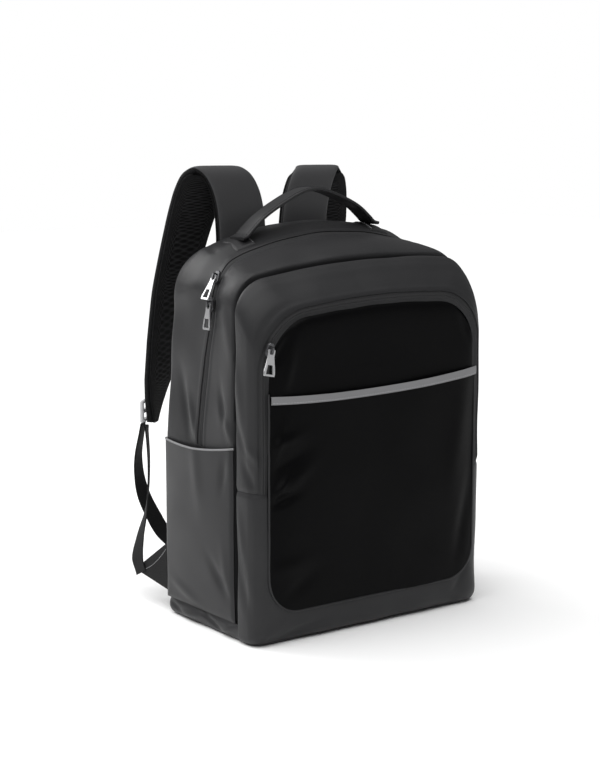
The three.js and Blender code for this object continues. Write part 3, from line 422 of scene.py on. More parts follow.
def front_form(out):
    """The front compartment's section at a share of its reach from the crease."""
    size = bag()
    scale = {
        "half": size.body_width / 2, "top": size.front_height, "bottom": size.front_height,
        "corner": size.front_radius, "foot": size.front_radius,
    }
    form = {key: through(FRONT_SECTIONS, key, out, "out") * by for key, by in scale.items()}
    half = form.pop("half")
    return {**form, "low": half, "shoulder": half, "sweep": ARCH_SWEEP, "waist": 0.0}


def front_y(out):
    """The place of a share of the front compartment's reach, as y."""
    return -bag().crease_depth - REST_GAP - out * (bag().front_reach - REST_GAP)


def rounded_reach(x, z, half, top, bottom, corner, foot):
    """Signed distance to a rounded rectangle, less than 0 inside it."""
    upper = z > (top + bottom) / 2
    radius = np.where(upper, corner, foot)
    over = np.where(upper, z - (top - corner), bottom + foot - z)
    across = np.abs(x) - (half - radius)
    outside = np.hypot(np.maximum(across, 0), np.maximum(over, 0))
    return outside + np.minimum(np.maximum(across, over), 0) - radius


def on_both_sides(reach, i):
    """The values in row i - 1 and row i, column by column."""
    return [np.take_along_axis(reach, row[None], 0)[0] for row in (i - 1, i)]


def front_depth(x, z):
    """Where the front compartment's skin lies, as y, behind points of the front view."""
    outs = np.concatenate([np.linspace(0, 0.99, 67), np.linspace(0.9915, 1.012, 15)])
    reach = []
    for out in outs:
        form = front_form(np.array(out))
        flat, crown = crown_of(form)
        level = z + crown * (np.minimum(np.abs(x), flat) / flat) ** 2
        edges = [form[key] for key in ("shoulder", "top", "bottom", "corner", "foot")]
        reach.append(rounded_reach(x, level, *edges))
    reach = np.maximum.accumulate(np.stack(reach), axis=0)
    past = np.argmax(reach > 0, axis=0)
    inside = ~np.any(reach > 0, axis=0)
    i = np.clip(past, 1, len(outs) - 1)
    low, high = on_both_sides(reach, i)
    share = np.clip(-low / np.maximum(high - low, 1e-9), 0, 1)
    out = np.where(inside, outs[-1], mix(outs[i - 1], outs[i], share))
    return front_y(out)


def door_reach(x, z):
    """Signed distance to the front door's outline, less than 0 inside it."""
    size = pockets()
    half = size.door_width / 2
    flat = half - size.door_corner
    bow = size.door_crown * 0.8
    level = z + bow * (np.minimum(np.abs(x), flat) / flat) ** 2 + size.door_crown * 0.25
    return rounded_reach(
        x, level, half, size.door_top, size.door_bottom, size.door_corner, size.door_foot
    )


def door_outline(grow, low_end=None):
    """The door's outline seen from the front, anticlockwise from the middle of its foot.
    With low_end it is the arch alone, from that height on the left over to the right."""
    size = pockets()
    half = size.door_width / 2 + grow
    top = size.door_top + grow
    corner = size.door_corner + grow
    foot = size.door_foot + grow
    bottom = size.door_bottom - grow
    sweep = math.radians(ARCH_SWEEP)
    spring = top - corner - size.door_crown
    end = half - corner + corner * math.cos(sweep)
    turn = np.linspace(0, sweep, 40)
    arc = np.stack([half - corner + corner * np.cos(turn), spring + corner * np.sin(turn)], -1)
    t = np.linspace(0, 1, 60)[:, None]
    start = np.array([end, spring + corner * math.sin(sweep)])
    peak = np.array([0, top + size.door_crown / 2])
    finish = start * [-1, 1]
    arch = (1 - t) ** 2 * start + 2 * t * (1 - t) * peak + t**2 * finish
    upper = np.concatenate([arc, arch[1:-1], arc[::-1] * [-1, 1]])
    if low_end is not None:
        line = np.concatenate([[[half, low_end]], upper, [[-half, low_end]]])
        return line[::-1]
    turn = np.linspace(-math.pi / 2, 0, 30)
    heel = np.stack([half - foot + foot * np.cos(turn), bottom + foot + foot * np.sin(turn)], -1)
    right = np.concatenate([[[0, bottom]], heel])
    return np.concatenate([right, upper, right[::-1] * [-1, 1]])


def along_line(line, share):
    """Points at shares of a polyline's length."""
    step = np.linalg.norm(np.diff(line, axis=0), axis=1)
    run = np.concatenate([[0], np.cumsum(step)])
    run /= run[-1]
    return np.stack([np.interp(share, run, line[:, axis]) for axis in range(line.shape[1])], -1)


def stretched(u, v, bottom, right, top, left):
    """A patch stretched between four edge lines, each given as a function of its share."""
    p00, p10 = bottom(np.array(0.0)), bottom(np.array(1.0))
    p01, p11 = top(np.array(0.0)), top(np.array(1.0))
    across, up = u[..., None], v[..., None]
    rows = mix(bottom(u), top(u), up)
    columns = mix(left(v), right(v), across)
    corners = mix(mix(p00, p10, across), mix(p01, p11, across), up)
    return rows + columns - corners


def folds_at(points, folds):
    """How far the cloth stands out at each point for the folds of a table."""
    lift = np.zeros(points.shape[:-1])
    for fold in folds:
        middle = np.array(fold["at"]) * MM
        way = np.array(fold["along"], float)
        way /= np.linalg.norm(way)
        off = points - middle
        along = off @ way
        across = np.sqrt(np.maximum((off**2).sum(-1) - along**2, 0))
        near = np.exp(-((across / (fold["wide"] * MM)) ** 2))
        lift += 1.5 * fold["deep"] * MM * near * np.exp(-((along / (fold["long"] * MM)) ** 2))
    return lift


def waves(points, size, depth, seed):
    """A slow unevenness of hand-sewn cloth."""
    flat = points.reshape(-1, 3) / size
    shift = Vector((seed * 3.7, seed * 1.9, seed * 5.3))
    made = [noise.noise(Vector(p) + shift) for p in flat]
    return depth * np.array(made).reshape(points.shape[:-1])


def facing_out(points, centre):
    """Unit normals of a grid of points, turned away from a centre."""
    du = np.gradient(points, axis=1)
    dv = np.gradient(points, axis=0)
    normal = unit(np.cross(du, dv))
    turned = ((points - centre) * normal).sum() < 0
    return (-normal if turned else normal), turned


def points_of(mesh):
    points = np.empty(len(mesh.vertices) * 3)
    mesh.vertices.foreach_get("co", points)
    return points.reshape(-1, 3)


def place_points(mesh, points):
    mesh.vertices.foreach_set("co", points.reshape(-1))
    mesh.update()


def deselect():
    bpy.ops.object.select_all(action="DESELECT")


def pick(piece):
    deselect()
    piece.select_set(True)
    bpy.context.view_layer.objects.active = piece


@contextmanager
def editing(piece, select="SELECT"):
    """Edit mode on one piece, with all or none of its mesh selected."""
    pick(piece)
    bpy.ops.object.mode_set(mode="EDIT")
    bpy.ops.mesh.select_all(action=select)
    yield
    bpy.ops.object.mode_set(mode="OBJECT")


def named(piece, name):
    piece.name = name
    piece.data.name = name
    return piece


def copied(piece, name):
    """A second piece of the same shape, with its own mesh."""
    copy = bpy.data.objects.new(name, piece.data.copy())
    bpy.context.scene.collection.objects.link(copy)
    return named(copy, name)


def bake(piece, kind, name, **values):
    """Adds a modifier with these values and applies it."""
    pick(piece)
    modifier = piece.modifiers.new(name, kind)
    for key, value in values.items():
        setattr(modifier, key, value)
    bpy.ops.object.modifier_apply(modifier=name)


def smooth(piece, degrees=40):
    pick(piece)
    bpy.ops.object.shade_smooth_by_angle(angle=math.radians(degrees))


def finish_piece(piece, material, replaces=None):
    """Gives a piece its material or materials and its body, and hides the CAD node it stands for."""
    piece.data.materials.clear()
    for one in material if isinstance(material, list) else [material]:
        piece.data.materials.append(one)
    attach(piece, BAG)
    if replaces:
        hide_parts(replaces)
    return piece


def grid_piece(name, across, up, place, flat):
    """A grid primitive whose points are moved to place(u, v). Its UV map is the flat cloth in
    metres. Returns the piece and its points as a grid."""
    deselect()
    bpy.ops.mesh.primitive_grid_add(x_subdivisions=across, y_subdivisions=up, size=1)
    piece = named(bpy.context.object, name)
    mesh = piece.data
    start = points_of(mesh)
    columns = len(np.unique(np.round(start[:, 0], 6)))
    u = (start[:, 0] + 0.5).reshape(-1, columns)
    v = (start[:, 1] + 0.5).reshape(-1, columns)
    points = place(u, v)
    place_points(mesh, points)
    loops = np.empty(len(mesh.loops) * 2)
    layer = mesh.uv_layers[0].data
    layer.foreach_get("uv", loops)
    layer.foreach_set("uv", (loops.reshape(-1, 2) * flat).reshape(-1))
    return piece, points


def turn_out(piece, points, centre):
    """Turns a grid piece's faces away from a centre."""
    if facing_out(points, centre)[1]:
        with editing(piece):
            bpy.ops.mesh.flip_normals()


def wall_inside(piece, thickness):
    """Gives a surface its cloth's thickness, inwards."""
    bake(piece, "SOLIDIFY", "wall", thickness=thickness, offset=-1, use_even_offset=False)
    smooth(piece)


def cloth_sheet(name, across, up, place, flat, centre, relief=None, cut=None, thickness=None):
    """A sheet of lined cloth: place gives its surface, relief its folds, cut the faces left out."""

    def surface(u, v):
        points = place(u, v)
        if relief is not None:
            normal, _ = facing_out(points, centre)
            points = points + normal * relief(u, v, points)[..., None]
        return settle(points)

    piece, points = grid_piece(name, across, up, surface, flat)
    turn_out(piece, points, centre)
    if cut is not None:
        drop_faces(piece, cut(points))
    wall_inside(piece, bag().cloth if thickness is None else thickness)
    return piece


def drop_faces(piece, chosen):
    """Deletes the grid faces that a table of true and false picks."""
    with editing(piece, "DESELECT"):
        bpy.ops.mesh.select_mode(type="FACE")
    piece.data.polygons.foreach_set("select", chosen.reshape(-1))
    bpy.ops.object.mode_set(mode="EDIT")
    bpy.ops.mesh.delete(type="FACE")
    bpy.ops.object.mode_set(mode="OBJECT")


def closed_loft(name, around, along, place, flat, caps=True):
    """A closed tube or band: a grid whose two long edges meet, with its ends filled."""
    piece, _ = grid_piece(name, around, along, place, flat)
    with editing(piece):
        bpy.ops.mesh.remove_doubles(threshold=1e-6)
        if caps:
            bpy.ops.mesh.select_all(action="DESELECT")
            bpy.ops.mesh.select_mode(type="VERT")
            bpy.ops.mesh.select_non_manifold()
            bpy.ops.mesh.fill_holes(sides=0)
        bpy.ops.mesh.select_all(action="SELECT")
        bpy.ops.mesh.normals_make_consistent(inside=False)
    smooth(piece)
    return piece


def unit(vectors):
    return vectors / np.maximum(np.linalg.norm(vectors, axis=-1, keepdims=True), 1e-12)


def tube(name, line, radius):
    """A round cord of cloth along a line, as piping has."""

    def place(u, v):
        spine = along_line(line, v)
        step = unit(np.gradient(spine, axis=0))
        side = unit(np.cross(step, [0.3, 0.9, 0.1]))
        other = np.cross(step, side)
        turn = u[..., None] * 2 * np.pi
        return spine + radius * (side * np.cos(turn) + other * np.sin(turn))

    return closed_loft(name, 10, len(line) - 1, place, (0.006, 0.3))


def stitch_row(name, line, out, pitch=0.0032, length=0.0022, radius=0.0004):
    """A row of stitches along a line; out is the cloth's normal at each point of the line."""
    deselect()
    bpy.ops.mesh.primitive_cylinder_add(vertices=6, radius=radius, depth=length)
    piece = named(bpy.context.object, name)
    with editing(piece):
        bpy.ops.transform.rotate(value=math.pi / 2, orient_axis="Y", center_override=(0, 0, 0))
    mesh = piece.data
    single = points_of(mesh)
    single[:, 2] -= radius * 1.2 * (single[:, 0] / (length / 2)) ** 2
    faces = [list(face.vertices) for face in mesh.polygons]
    run = np.linalg.norm(np.diff(line, axis=0), axis=1).sum()
    count = max(int(run / pitch), 1)
    middle = (np.arange(count) + 0.5) / count
    place = along_line(line, middle)
    ahead = along_line(line, np.clip(middle + 0.3 / count, 0, 1))
    way = unit(ahead - along_line(line, np.clip(middle - 0.3 / count, 0, 1)))
    up = along_line(np.asarray(out), middle)
    up = unit(up - way * (up * way).sum(1, keepdims=True))
    side = np.cross(up, way)
    points, polygons = [], []
    for k in range(count):
        axes = np.stack([way[k], side[k], up[k]])
        polygons += [[i + k * len(single) for i in face] for face in faces]
        points.append(single @ axes + place[k] + up[k] * radius * 0.7)
    mesh.clear_geometry()
    mesh.from_pydata(np.concatenate(points).tolist(), [], polygons)
    mesh.update()
    smooth(piece, 60)
    return piece


# Materials


def new_group(name, inputs, outputs):
    group = bpy.data.node_groups.new(name, "ShaderNodeTree")
    for label, kind, default in inputs:
        socket = group.interface.new_socket(name=label, in_out="INPUT", socket_type=kind)
        if default is not None:
            socket.default_value = default
    for label, kind in outputs:
        group.interface.new_socket(name=label, in_out="OUTPUT", socket_type=kind)
    start = group.nodes.new("NodeGroupInput")
    end = group.nodes.new("NodeGroupOutput")
    return group, start, end


def maths(tree, kind, *terms):
    """A maths node fed by plain numbers or by other nodes' outputs."""
    node = tree.nodes.new("ShaderNodeMath")
    node.operation = kind
    for socket, term in zip(node.inputs, terms):
        if isinstance(term, (int, float)):
            socket.default_value = term
        else:
            tree.links.new(term, socket)
    return node.outputs[0]


def tuned(node, **values):
    """Sets plain inputs; an underscore in a name stands for a space."""
    for label, value in values.items():
        node.inputs[label.replace("_", " ")].default_value = value
    return node


def weave_group():
    """Over and under threads on the flat cloth. Threads is per metre, Twill slants the ribs. Its Shade is
    painted shade in the low places between threads and painted light on the thread tops.
    """
    if "weave" in bpy.data.node_groups:
        return bpy.data.node_groups["weave"]
    group, start, end = new_group(
        "weave",
        [
            ("UV", "NodeSocketVector", None),
            ("Threads", "NodeSocketFloat", 1800.0),
            ("Twill", "NodeSocketFloat", 0.0),
        ],
        [("Height", "NodeSocketFloat"), ("Shade", "NodeSocketFloat")],
    )
    split = group.nodes.new("ShaderNodeSeparateXYZ")
    group.links.new(start.outputs["UV"], split.inputs[0])
    turns = maths(group, "MULTIPLY", start.outputs["Threads"], math.pi)
    across = maths(group, "MULTIPLY", split.outputs["X"], turns)
    slant = maths(group, "MULTIPLY", across, start.outputs["Twill"])
    up = maths(group, "ADD", maths(group, "MULTIPLY", split.outputs["Y"], turns), slant)
    both = maths(group, "MULTIPLY", maths(group, "SINE", across), maths(group, "SINE", up))
    height = maths(group, "ADD", maths(group, "MULTIPLY", both, 0.5), 0.5)
    group.links.new(height, end.inputs["Height"])
    # Painted shade: the weave's low places are darkened in the colour and its thread tops lightened.
    shade = maths(group, "ADD", maths(group, "MULTIPLY", height, 0.25), 0.875)
    group.links.new(shade, end.inputs["Shade"])
    return group


def unevenness_group():
    """Slow changes of shade and gloss, as handled cloth has."""
    if "unevenness" in bpy.data.node_groups:
        return bpy.data.node_groups["unevenness"]
    group, start, end = new_group(
        "unevenness",
        [
            ("Place", "NodeSocketVector", None),
            ("Scale", "NodeSocketFloat", 14.0),
            ("Amount", "NodeSocketFloat", 0.15),
        ],
        [("Shade", "NodeSocketFloat"), ("Gloss", "NodeSocketFloat")],
    )
    for label, factor in (("Shade", 1.0), ("Gloss", 2.3)):
        cloud = tuned(group.nodes.new("ShaderNodeTexNoise"), Detail=4)
        group.links.new(start.outputs["Place"], cloud.inputs["Vector"])
        group.links.new(maths(group, "MULTIPLY", start.outputs["Scale"], factor), cloud.inputs["Scale"])
        off = maths(group, "SUBTRACT", cloud.outputs["Fac"], 0.5)
        scaled = maths(group, "MULTIPLY", off, start.outputs["Amount"])
        group.links.new(maths(group, "ADD", scaled, 1.0), end.inputs[label])
    return group


def material_start(name):
    """The material, with its tree and shader only where it is new."""
    if name in bpy.data.materials:
        return bpy.data.materials[name], None, None
    material = bpy.data.materials.new(name)
    material.use_nodes = True
    tree = material.node_tree
    return material, tree, tree.nodes["Principled BSDF"]


def shaded(tree, base, *shades):
    """A plain colour multiplied by the shades that vary over the surface."""
    total = shades[0]
    for more in shades[1:]:
        total = maths(tree, "MULTIPLY", total, more)
    node = tree.nodes.new("ShaderNodeMix")
    node.data_type = "RGBA"
    node.blend_type = "MULTIPLY"
    node.inputs["Factor"].default_value = 1.0
    node.inputs["A"].default_value = (*base, 1)
    grey = tree.nodes.new("ShaderNodeCombineColor")
    for channel in ("Red", "Green", "Blue"):
        tree.links.new(total, grey.inputs[channel])
    tree.links.new(grey.outputs["Color"], node.inputs["B"])
    return node.outputs["Result"]


def grouped(tree, group, source, target, **values):
    """Places a shader group, fed by one of the surface's own coordinates."""
    where = tree.nodes.new("ShaderNodeTexCoord")
    node = tree.nodes.new("ShaderNodeGroup")
    node.node_tree = group
    tree.links.new(where.outputs[source], node.inputs[target])
    return tuned(node, **values)


def bumped(tree, shader, height, strength, depth):
    bump = tuned(tree.nodes.new("ShaderNodeBump"), Strength=strength, Distance=depth)
    tree.links.new(height, bump.inputs["Height"])
    tree.links.new(bump.outputs["Normal"], shader.inputs["Normal"])


def glossed(tree, shader, cloud, roughness):
    gloss = maths(tree, "MULTIPLY", cloud.outputs["Gloss"], roughness)
    tree.links.new(gloss, shader.inputs["Roughness"])


def cloth_material(name, base, roughness, threads, depth, twill=0.0, gloss=0.25, sheen=0.0):
    """Woven cloth: threads is per metre, depth is the weave's in metres."""
    material, tree, shader = material_start(name)
    if tree is None:
        return material
    weave = grouped(tree, weave_group(), "UV", "UV", Threads=threads, Twill=twill)
    cloud = grouped(tree, unevenness_group(), "Object", "Place", Amount=0.18)
    # The weave's Shade is painted shade between the threads and painted light on their tops; the cloud's
    # Shade is random tone.
    tint = shaded(tree, base, weave.outputs["Shade"], cloud.outputs["Shade"])
    tree.links.new(tint, shader.inputs["Base Color"])
    glossed(tree, shader, cloud, roughness)
    bumped(tree, shader, weave.outputs["Height"], 0.5, depth)
    tuned(shader, Specular_IOR_Level=gloss, Sheen_Weight=sheen, Sheen_Roughness=0.5)
    return material


def body_cloth():
    return cloth_material("coated_body_cloth", colours().body, 0.4, 2200, 0.00008, gloss=0.2)


def door_cloth():
    return cloth_material("coated_door_cloth", colours().door, 0.42, 2200, 0.00008, gloss=0.05)


def strap_cloth():
    return cloth_material("strap_cloth", colours().pad, 0.55, 1600, 0.0001)


def webbing_cloth():
    return cloth_material("webbing_cloth", colours().webbing, 0.75, 900, 0.0003, twill=1.0, gloss=0.15)


def trim_cloth():
    return cloth_material("trim_cloth", colours().trim, 0.55, 1500, 0.0001, sheen=0.1)


def tape_cloth():
    return cloth_material("tape_cloth", colours().tape, 0.7, 1500, 0.0002, twill=1.0)


def thread_cloth():
    return cloth_material("thread", colours().thread, 0.6, 3000, 0.0001)


def mesh_cloth():
    """Spacer mesh: rows of small open holes between knots. The pattern of holes and knots is the mesh's own;
    its dark holes are painted shade and its pale knots are painted highlight.
    """
    material, tree, shader = material_start("spacer_mesh")
    if tree is None:
        return material
    where = tree.nodes.new("ShaderNodeTexCoord")
    turned = tree.nodes.new("ShaderNodeMapping")
    tuned(turned, Rotation=(0, 0, math.radians(38)), Scale=(1, 0.6, 1))
    tree.links.new(where.outputs["UV"], turned.inputs["Vector"])
    cells = tuned(tree.nodes.new("ShaderNodeTexVoronoi"), Scale=380, Randomness=0.2)
    tree.links.new(turned.outputs["Vector"], cells.inputs["Vector"])
    edge = tuned(tree.nodes.new("ShaderNodeMapRange"), From_Min=0.25, From_Max=0.6)
    tree.links.new(cells.outputs["Distance"], edge.inputs["Value"])
    # Painted shade and painted highlight: the colour is dark in the holes and up to ten times lighter on the
    # knots.
    shade = maths(tree, "ADD", maths(tree, "MULTIPLY", edge.outputs["Result"], 3.2), 0.35)
    tree.links.new(shaded(tree, colours().mesh, shade), shader.inputs["Base Color"])
    tuned(shader, Roughness=0.85, Specular_IOR_Level=0.15)
    bumped(tree, shader, edge.outputs["Result"], 0.7, 0.0006)
    return material


def hard_material(name, base, roughness, metallic, scratch):
    """Moulded plastic or cast metal, with fine scratches in its gloss."""
    material, tree, shader = material_start(name)
    if tree is None:
        return material
    cloud = grouped(tree, unevenness_group(), "Object", "Place", Scale=260, Amount=scratch)
    tree.links.new(shaded(tree, base, cloud.outputs["Shade"]), shader.inputs["Base Color"])
    glossed(tree, shader, cloud, roughness)
    tuned(shader, Metallic=metallic)
    return material


# The bag's body

BODY_MIDDLE = np.array([0.0, 0.01, 0.19])
FRONT_MIDDLE = np.array([0.0, -0.04, 0.18])
# The place between back edge and crease where the outline for the main zip is taken.
ZIP_SECTION = 0.55
# Rows of the main cloth from the back edge to the zip, and again from the zip to the crease.
ZIP_ROW = 31
MAIN_ROWS = 2 * ZIP_ROW - 1


def body_waves(points):
    return waves(points, 0.045, 0.0014, 1)


def front_waves(points):
    return waves(points, 0.045, 0.0013, 2)


def crease_tuck(points):
    """Cloth pulled in along the seam between the two compartments."""
    return tuck(points[..., 1] + bag().crease_depth, 0.011, 0.0024)


def zip_y(height):
    share = height / bag().body_height
    return -through(MAIN_ZIP_LINE, "forward", share, "height") * bag().crease_depth


def zip_line_y(u):
    """The main zip's middle, as y, at each place round the outline."""
    return zip_y(main_points(u, np.full(np.shape(u), ZIP_SECTION))[..., 2])


def back_share(y):
    size = bag()
    return (size.rear_edge - y) / (size.rear_edge + size.crease_depth)


def tuck(distance, depth, width):
    """Cloth that turns in towards a seam."""
    return -depth * np.exp(-((distance / width) ** 2))


def main_cloth_place(u, v):
    size = bag()
    j = np.round(v * MAIN_ROWS)
    middle = zip_line_y(u)
    behind = mix(size.rear_edge, middle + size.zip_width / 2, j / (ZIP_ROW - 1))
    ahead = mix(middle - size.zip_width / 2, -size.crease_depth, (j - ZIP_ROW) / (ZIP_ROW - 1))
    return main_points(u, back_share(np.where(j < ZIP_ROW, behind, ahead)))


def main_relief(u, v, points):
    size = bag()
    lift = folds_at(points, MAIN_FOLDS) + body_waves(points) + crease_tuck(points)
    lift += tuck(size.rear_edge - points[..., 1], 0.002, 0.003)
    lift += tuck(points[..., 2] - size.seam_height, 0.001, 0.003)
    off = np.abs(points[..., 1] - zip_line_y(u)) - size.zip_width / 2
    open_part = np.clip((points[..., 2] - size.main_zip_end + 0.006) / 0.006, 0, 1)
    lift += open_part * (0.0007 * np.exp(-((off - 0.002) / 0.0015) ** 2))
    return lift


def zip_hole(points):
    """The faces between the two rows beside the zip, above its end."""
    low = np.minimum(points[:-1, :-1, 2], points[:-1, 1:, 2])
    chosen = np.zeros(low.shape, bool)
    chosen[ZIP_ROW - 1] = low[ZIP_ROW - 1] > bag().main_zip_end
    return chosen


def build_main_cloth():
    piece = cloth_sheet(
        "main_cloth", 300, MAIN_ROWS, main_cloth_place, (1.05, 0.131), BODY_MIDDLE, main_relief, zip_hole
    )
    finish_piece(piece, body_cloth(), "main_shell")


def zip_profile(across):
    """Height of a zip's face across its width from 0 to 1: two tapes and a coil in the middle."""
    off = np.abs(across - 0.5) * bag().zip_width
    coil = 0.0007 * np.clip(1 - (off / 0.0019) ** 2, 0, 1) ** 0.5
    slit = -0.0006 * np.exp(-((off / 0.00035) ** 2))
    return -0.0008 + coil + slit


def build_main_zip():
    size = bag()
    u = np.linspace(0, 0.5, 2001)
    height = main_points(u, np.full(u.shape, ZIP_SECTION))[..., 2]
    first = float(np.interp(size.main_zip_end - 0.002, height, u))

    def place(u, v):
        at = mix(first, 1 - first, u)
        y = zip_line_y(at) + (0.5 - v) * (size.zip_width + 0.002)
        return main_points(at, back_share(y))

    def relief(u, v, points):
        return zip_profile(v) + folds_at(points, MAIN_FOLDS) + body_waves(points)

    flat = (0.7, 0.012)
    piece = cloth_sheet("main_zip_tape", 300, 24, place, flat, BODY_MIDDLE, relief, thickness=TAPE)
    finish_piece(piece, tape_cloth(), "main_zip")


def build_base():
    """The tray of cloth under the bag: its side turns in round the edge, then closes the floor."""
    size = bag()
    half = size.body_width / 2
    back, front = size.rear_edge, -(size.crease_depth + size.front_reach)
    front_inset, front_radius, back_radius, edge_radius = 0.006, 0.02, 0.008, 0.008
    side_share, floor_share = 0.5, 0.6
    profile = table(
        "v inset up",
        (0.0, 0.0, 1.0),
        (0.14, 0.0, 0.75),
        (0.28, 0.02, 0.5),
        (0.42, 0.2, 0.24),
        (0.52, 0.55, 0.07),
        (0.6, 1.0, 0.0),
        (1.0, 1.0, 0.0),
    )

    def place(u, v):
        inset = through(profile, "inset", v, "v") * edge_radius
        up = through(profile, "up", v, "v") * size.seam_height
        line = plan_outline(half, front + front_inset, back, front_radius, back_radius)
        ring = along_line(line, u)
        middle = np.array([0, (back + front) / 2])
        inner = np.clip((v - floor_share) / 0.4, 0, 1)[..., None]
        away = ring - middle
        shrink = inset / np.maximum(np.abs(away).max(-1), 0.05)
        ring = middle + away * (1 - shrink[..., None]) * (1 - inner)
        return np.concatenate([ring, up[..., None]], -1)

    def surface(u, v):
        points = place(u, v)
        lift = folds_at(points, BASE_FOLDS) * (v < side_share)
        lift += np.where(v < side_share, waves(points, 0.03, 0.0006, 4), 0)
        lift += tuck(v * 0.03, 0.0016, 0.0025)
        away = unit(points * [1, 1, 0])
        return points + away * lift[..., None]

    piece = closed_loft("base_cloth", 320, 44, surface, (0.93, 0.05), caps=False)
    wall_inside(piece, size.cloth)
    finish_piece(piece, body_cloth(), "base_panel")


def plan_outline(half, front, back, front_radius, back_radius):
    """A rounded rectangle seen from above, closed, from the middle of its front."""
    turn = np.linspace(0, np.pi / 2, 16)
    right_front = np.stack(
        [half - front_radius + front_radius * np.sin(turn), front + front_radius * (1 - np.cos(turn))], -1
    )
    right_back = np.stack(
        [half - back_radius * (1 - np.cos(turn)), back - back_radius * (1 - np.sin(turn))], -1
    )
    right = np.concatenate([[[0, front]], right_front, right_back])
    left = right[::-1] * [-1, 1]
    return np.concatenate([right, [[0, back]], left])


def first_meeting(x, z, grow):
    """How far along each path the front cloth runs before it meets the door, grown by a margin."""
    reach = door_reach(x, z) - grow
    past = reach < 0
    i = np.clip(np.argmax(past, axis=0), 1, len(reach) - 1)
    low, high = on_both_sides(reach, i)
    return i - 1 + np.clip(low / np.maximum(low - high, 1e-9), 0, 1)


def front_cloth_place(low_end, high_end, grow):
    """The front compartment's cloth from the crease to the zip or door. With high_end it is the
    upper part, over the top from that height; with low_end the lower part, under the bottom."""
    outs = np.concatenate([np.linspace(0, 0.99, 120), np.linspace(0.9905, 1.012, 40)])
    side_end, foot_end = 0.55, 0.75

    def path(share, out):
        if high_end is not None:
            form = {**front_form(out), "foot": 1e-6, "bottom": high_end + 0 * out}
            return half_outline(share, form, 0.0, 0.5, 0.74)
        form = front_form(out)
        base = form["bottom"] + form["foot"]
        part = [share < side_end, share < foot_end]
        turn = -np.pi / 2 * (share - side_end) / 0.2
        foot_x = form["low"] - form["foot"] * (1 - np.cos(turn))
        under_x = (form["low"] - form["foot"]) * (1 - (share - foot_end) / 0.25)
        side_z, foot_z = mix(low_end, base, share / side_end), base + form["foot"] * np.sin(turn)
        x = np.select(part, [form["low"], foot_x], under_x)
        return x, np.select(part, [side_z, foot_z], form["bottom"])

    def place(u, v):
        share = 1 - np.abs(2 * u - 1)
        columns = share[0]
        x, z = path(columns[None, :] + 0 * outs[:, None], outs[:, None] + 0 * columns[None, :])
        stop = first_meeting(x, z, grow)
        out = np.interp(v * stop[None, :], np.arange(len(outs)), outs)
        x, z = path(share, out)
        return np.stack([np.where(u < 0.5, x, -x), front_y(out), z], -1)

    return place


def front_relief(points):
    return folds_at(points, FRONT_FOLDS) + front_waves(points) + crease_tuck(points)


def build_front_upper():
    size = bag()

    def relief(u, v, points):
        lift = front_relief(points)
        lift += tuck(points[..., 2] - size.front_zip_end, 0.0012, 0.003)
        return lift + 0.0006 * np.exp(-(((1 - v) * 0.05 - 0.002) / 0.002) ** 2)

    place = front_cloth_place(None, size.front_zip_end + 0.0003, size.zip_width)
    piece = cloth_sheet("front_cloth_upper", 300, 40, place, (0.68, 0.055), FRONT_MIDDLE, relief)
    finish_piece(piece, body_cloth(), "front_shell_upper")


def build_front_lower():
    size = bag()

    def relief(u, v, points):
        lift = front_relief(points)
        return lift + tuck(size.front_zip_end - points[..., 2], 0.0012, 0.003)

    place = front_cloth_place(size.front_zip_end, None, -0.005)
    piece = cloth_sheet("front_cloth_lower", 320, 44, place, (0.6, 0.06), FRONT_MIDDLE, relief)
    finish_piece(piece, body_cloth(), "front_shell_lower")


def build_front_zip():
    size = bag()

    def place(u, v):
        grow = mix(size.zip_width + 0.001, -0.001, v)
        outer = [along_line(door_outline(g, size.front_zip_end), u[0]) for g in grow[:, 0]]
        spots = np.stack(outer)
        y = front_depth(spots[..., 0], spots[..., 1])
        return np.stack([spots[..., 0], y, spots[..., 1]], -1)

    def relief(u, v, points):
        return zip_profile(v) + front_waves(points)

    flat = (0.62, 0.012)
    piece = cloth_sheet("front_zip_tape", 300, 24, place, flat, FRONT_MIDDLE, relief, thickness=TAPE)
    finish_piece(piece, tape_cloth(), "front_zip")


def rim_parts(line, corners):
    """Cuts a closed outline into four edge lines at four shares of its length."""
    low_left, low_right, top_right, top_left = corners

    def edge(start, end):
        return lambda share: along_line(line, (start + (end - start) * share) % 1.0)

    sides = [(low_left - 1, low_right), (low_right, top_right), (top_left, top_right), (low_left, top_left)]
    return [edge(start, end) for start, end in sides]


def rounded_patch(u, v, line, low, high):
    """A patch within a closed outline; its corners lie nearest the low and high places and their
    mirror images."""
    share = np.linspace(0, 1, 2000, endpoint=False)
    spots = along_line(line, share)
    corners = [
        float(share[np.argmin(np.hypot(spots[:, 0] - x, spots[:, 1] - z))])
        for x, z in ((-low[0], low[1]), low, high, (-high[0], high[1]))
    ]
    return stretched(u, v, *rim_parts(line, corners))


def door_patch(u, v):
    size = pockets()
    half = size.door_width / 2
    foot = size.door_foot * DIAGONAL
    corner = size.door_corner * DIAGONAL
    low = (half - foot, size.door_bottom + foot)
    high = (half - corner, size.door_top - size.door_crown - corner)
    return rounded_patch(u, v, door_outline(0.0012), low, high)


def build_door():
    """The door's cloth stands a little proud of the zip above the slip pocket and lies flat under it."""
    swell, edge, covered = 0.0032, 0.006, 0.2

    def place(u, v):
        spots = door_patch(u, v)
        inside = np.maximum(-door_reach(spots[..., 0], spots[..., 1]), 0)
        y = front_depth(spots[..., 0], spots[..., 1])
        proud = swell * (1 - np.exp(-inside / edge)) - 0.0025 * np.exp(-inside / 0.0012)
        return np.stack([spots[..., 0], y - proud * (spots[..., 1] > covered), spots[..., 1]], -1)

    def relief(u, v, points):
        return folds_at(points, DOOR_FOLDS) + waves(points, 0.06, 0.001, 3)

    piece = cloth_sheet("door_panel", 150, 150, place, (0.266, 0.302), FRONT_MIDDLE, relief)
    finish_piece(piece, door_cloth(), "front_door")


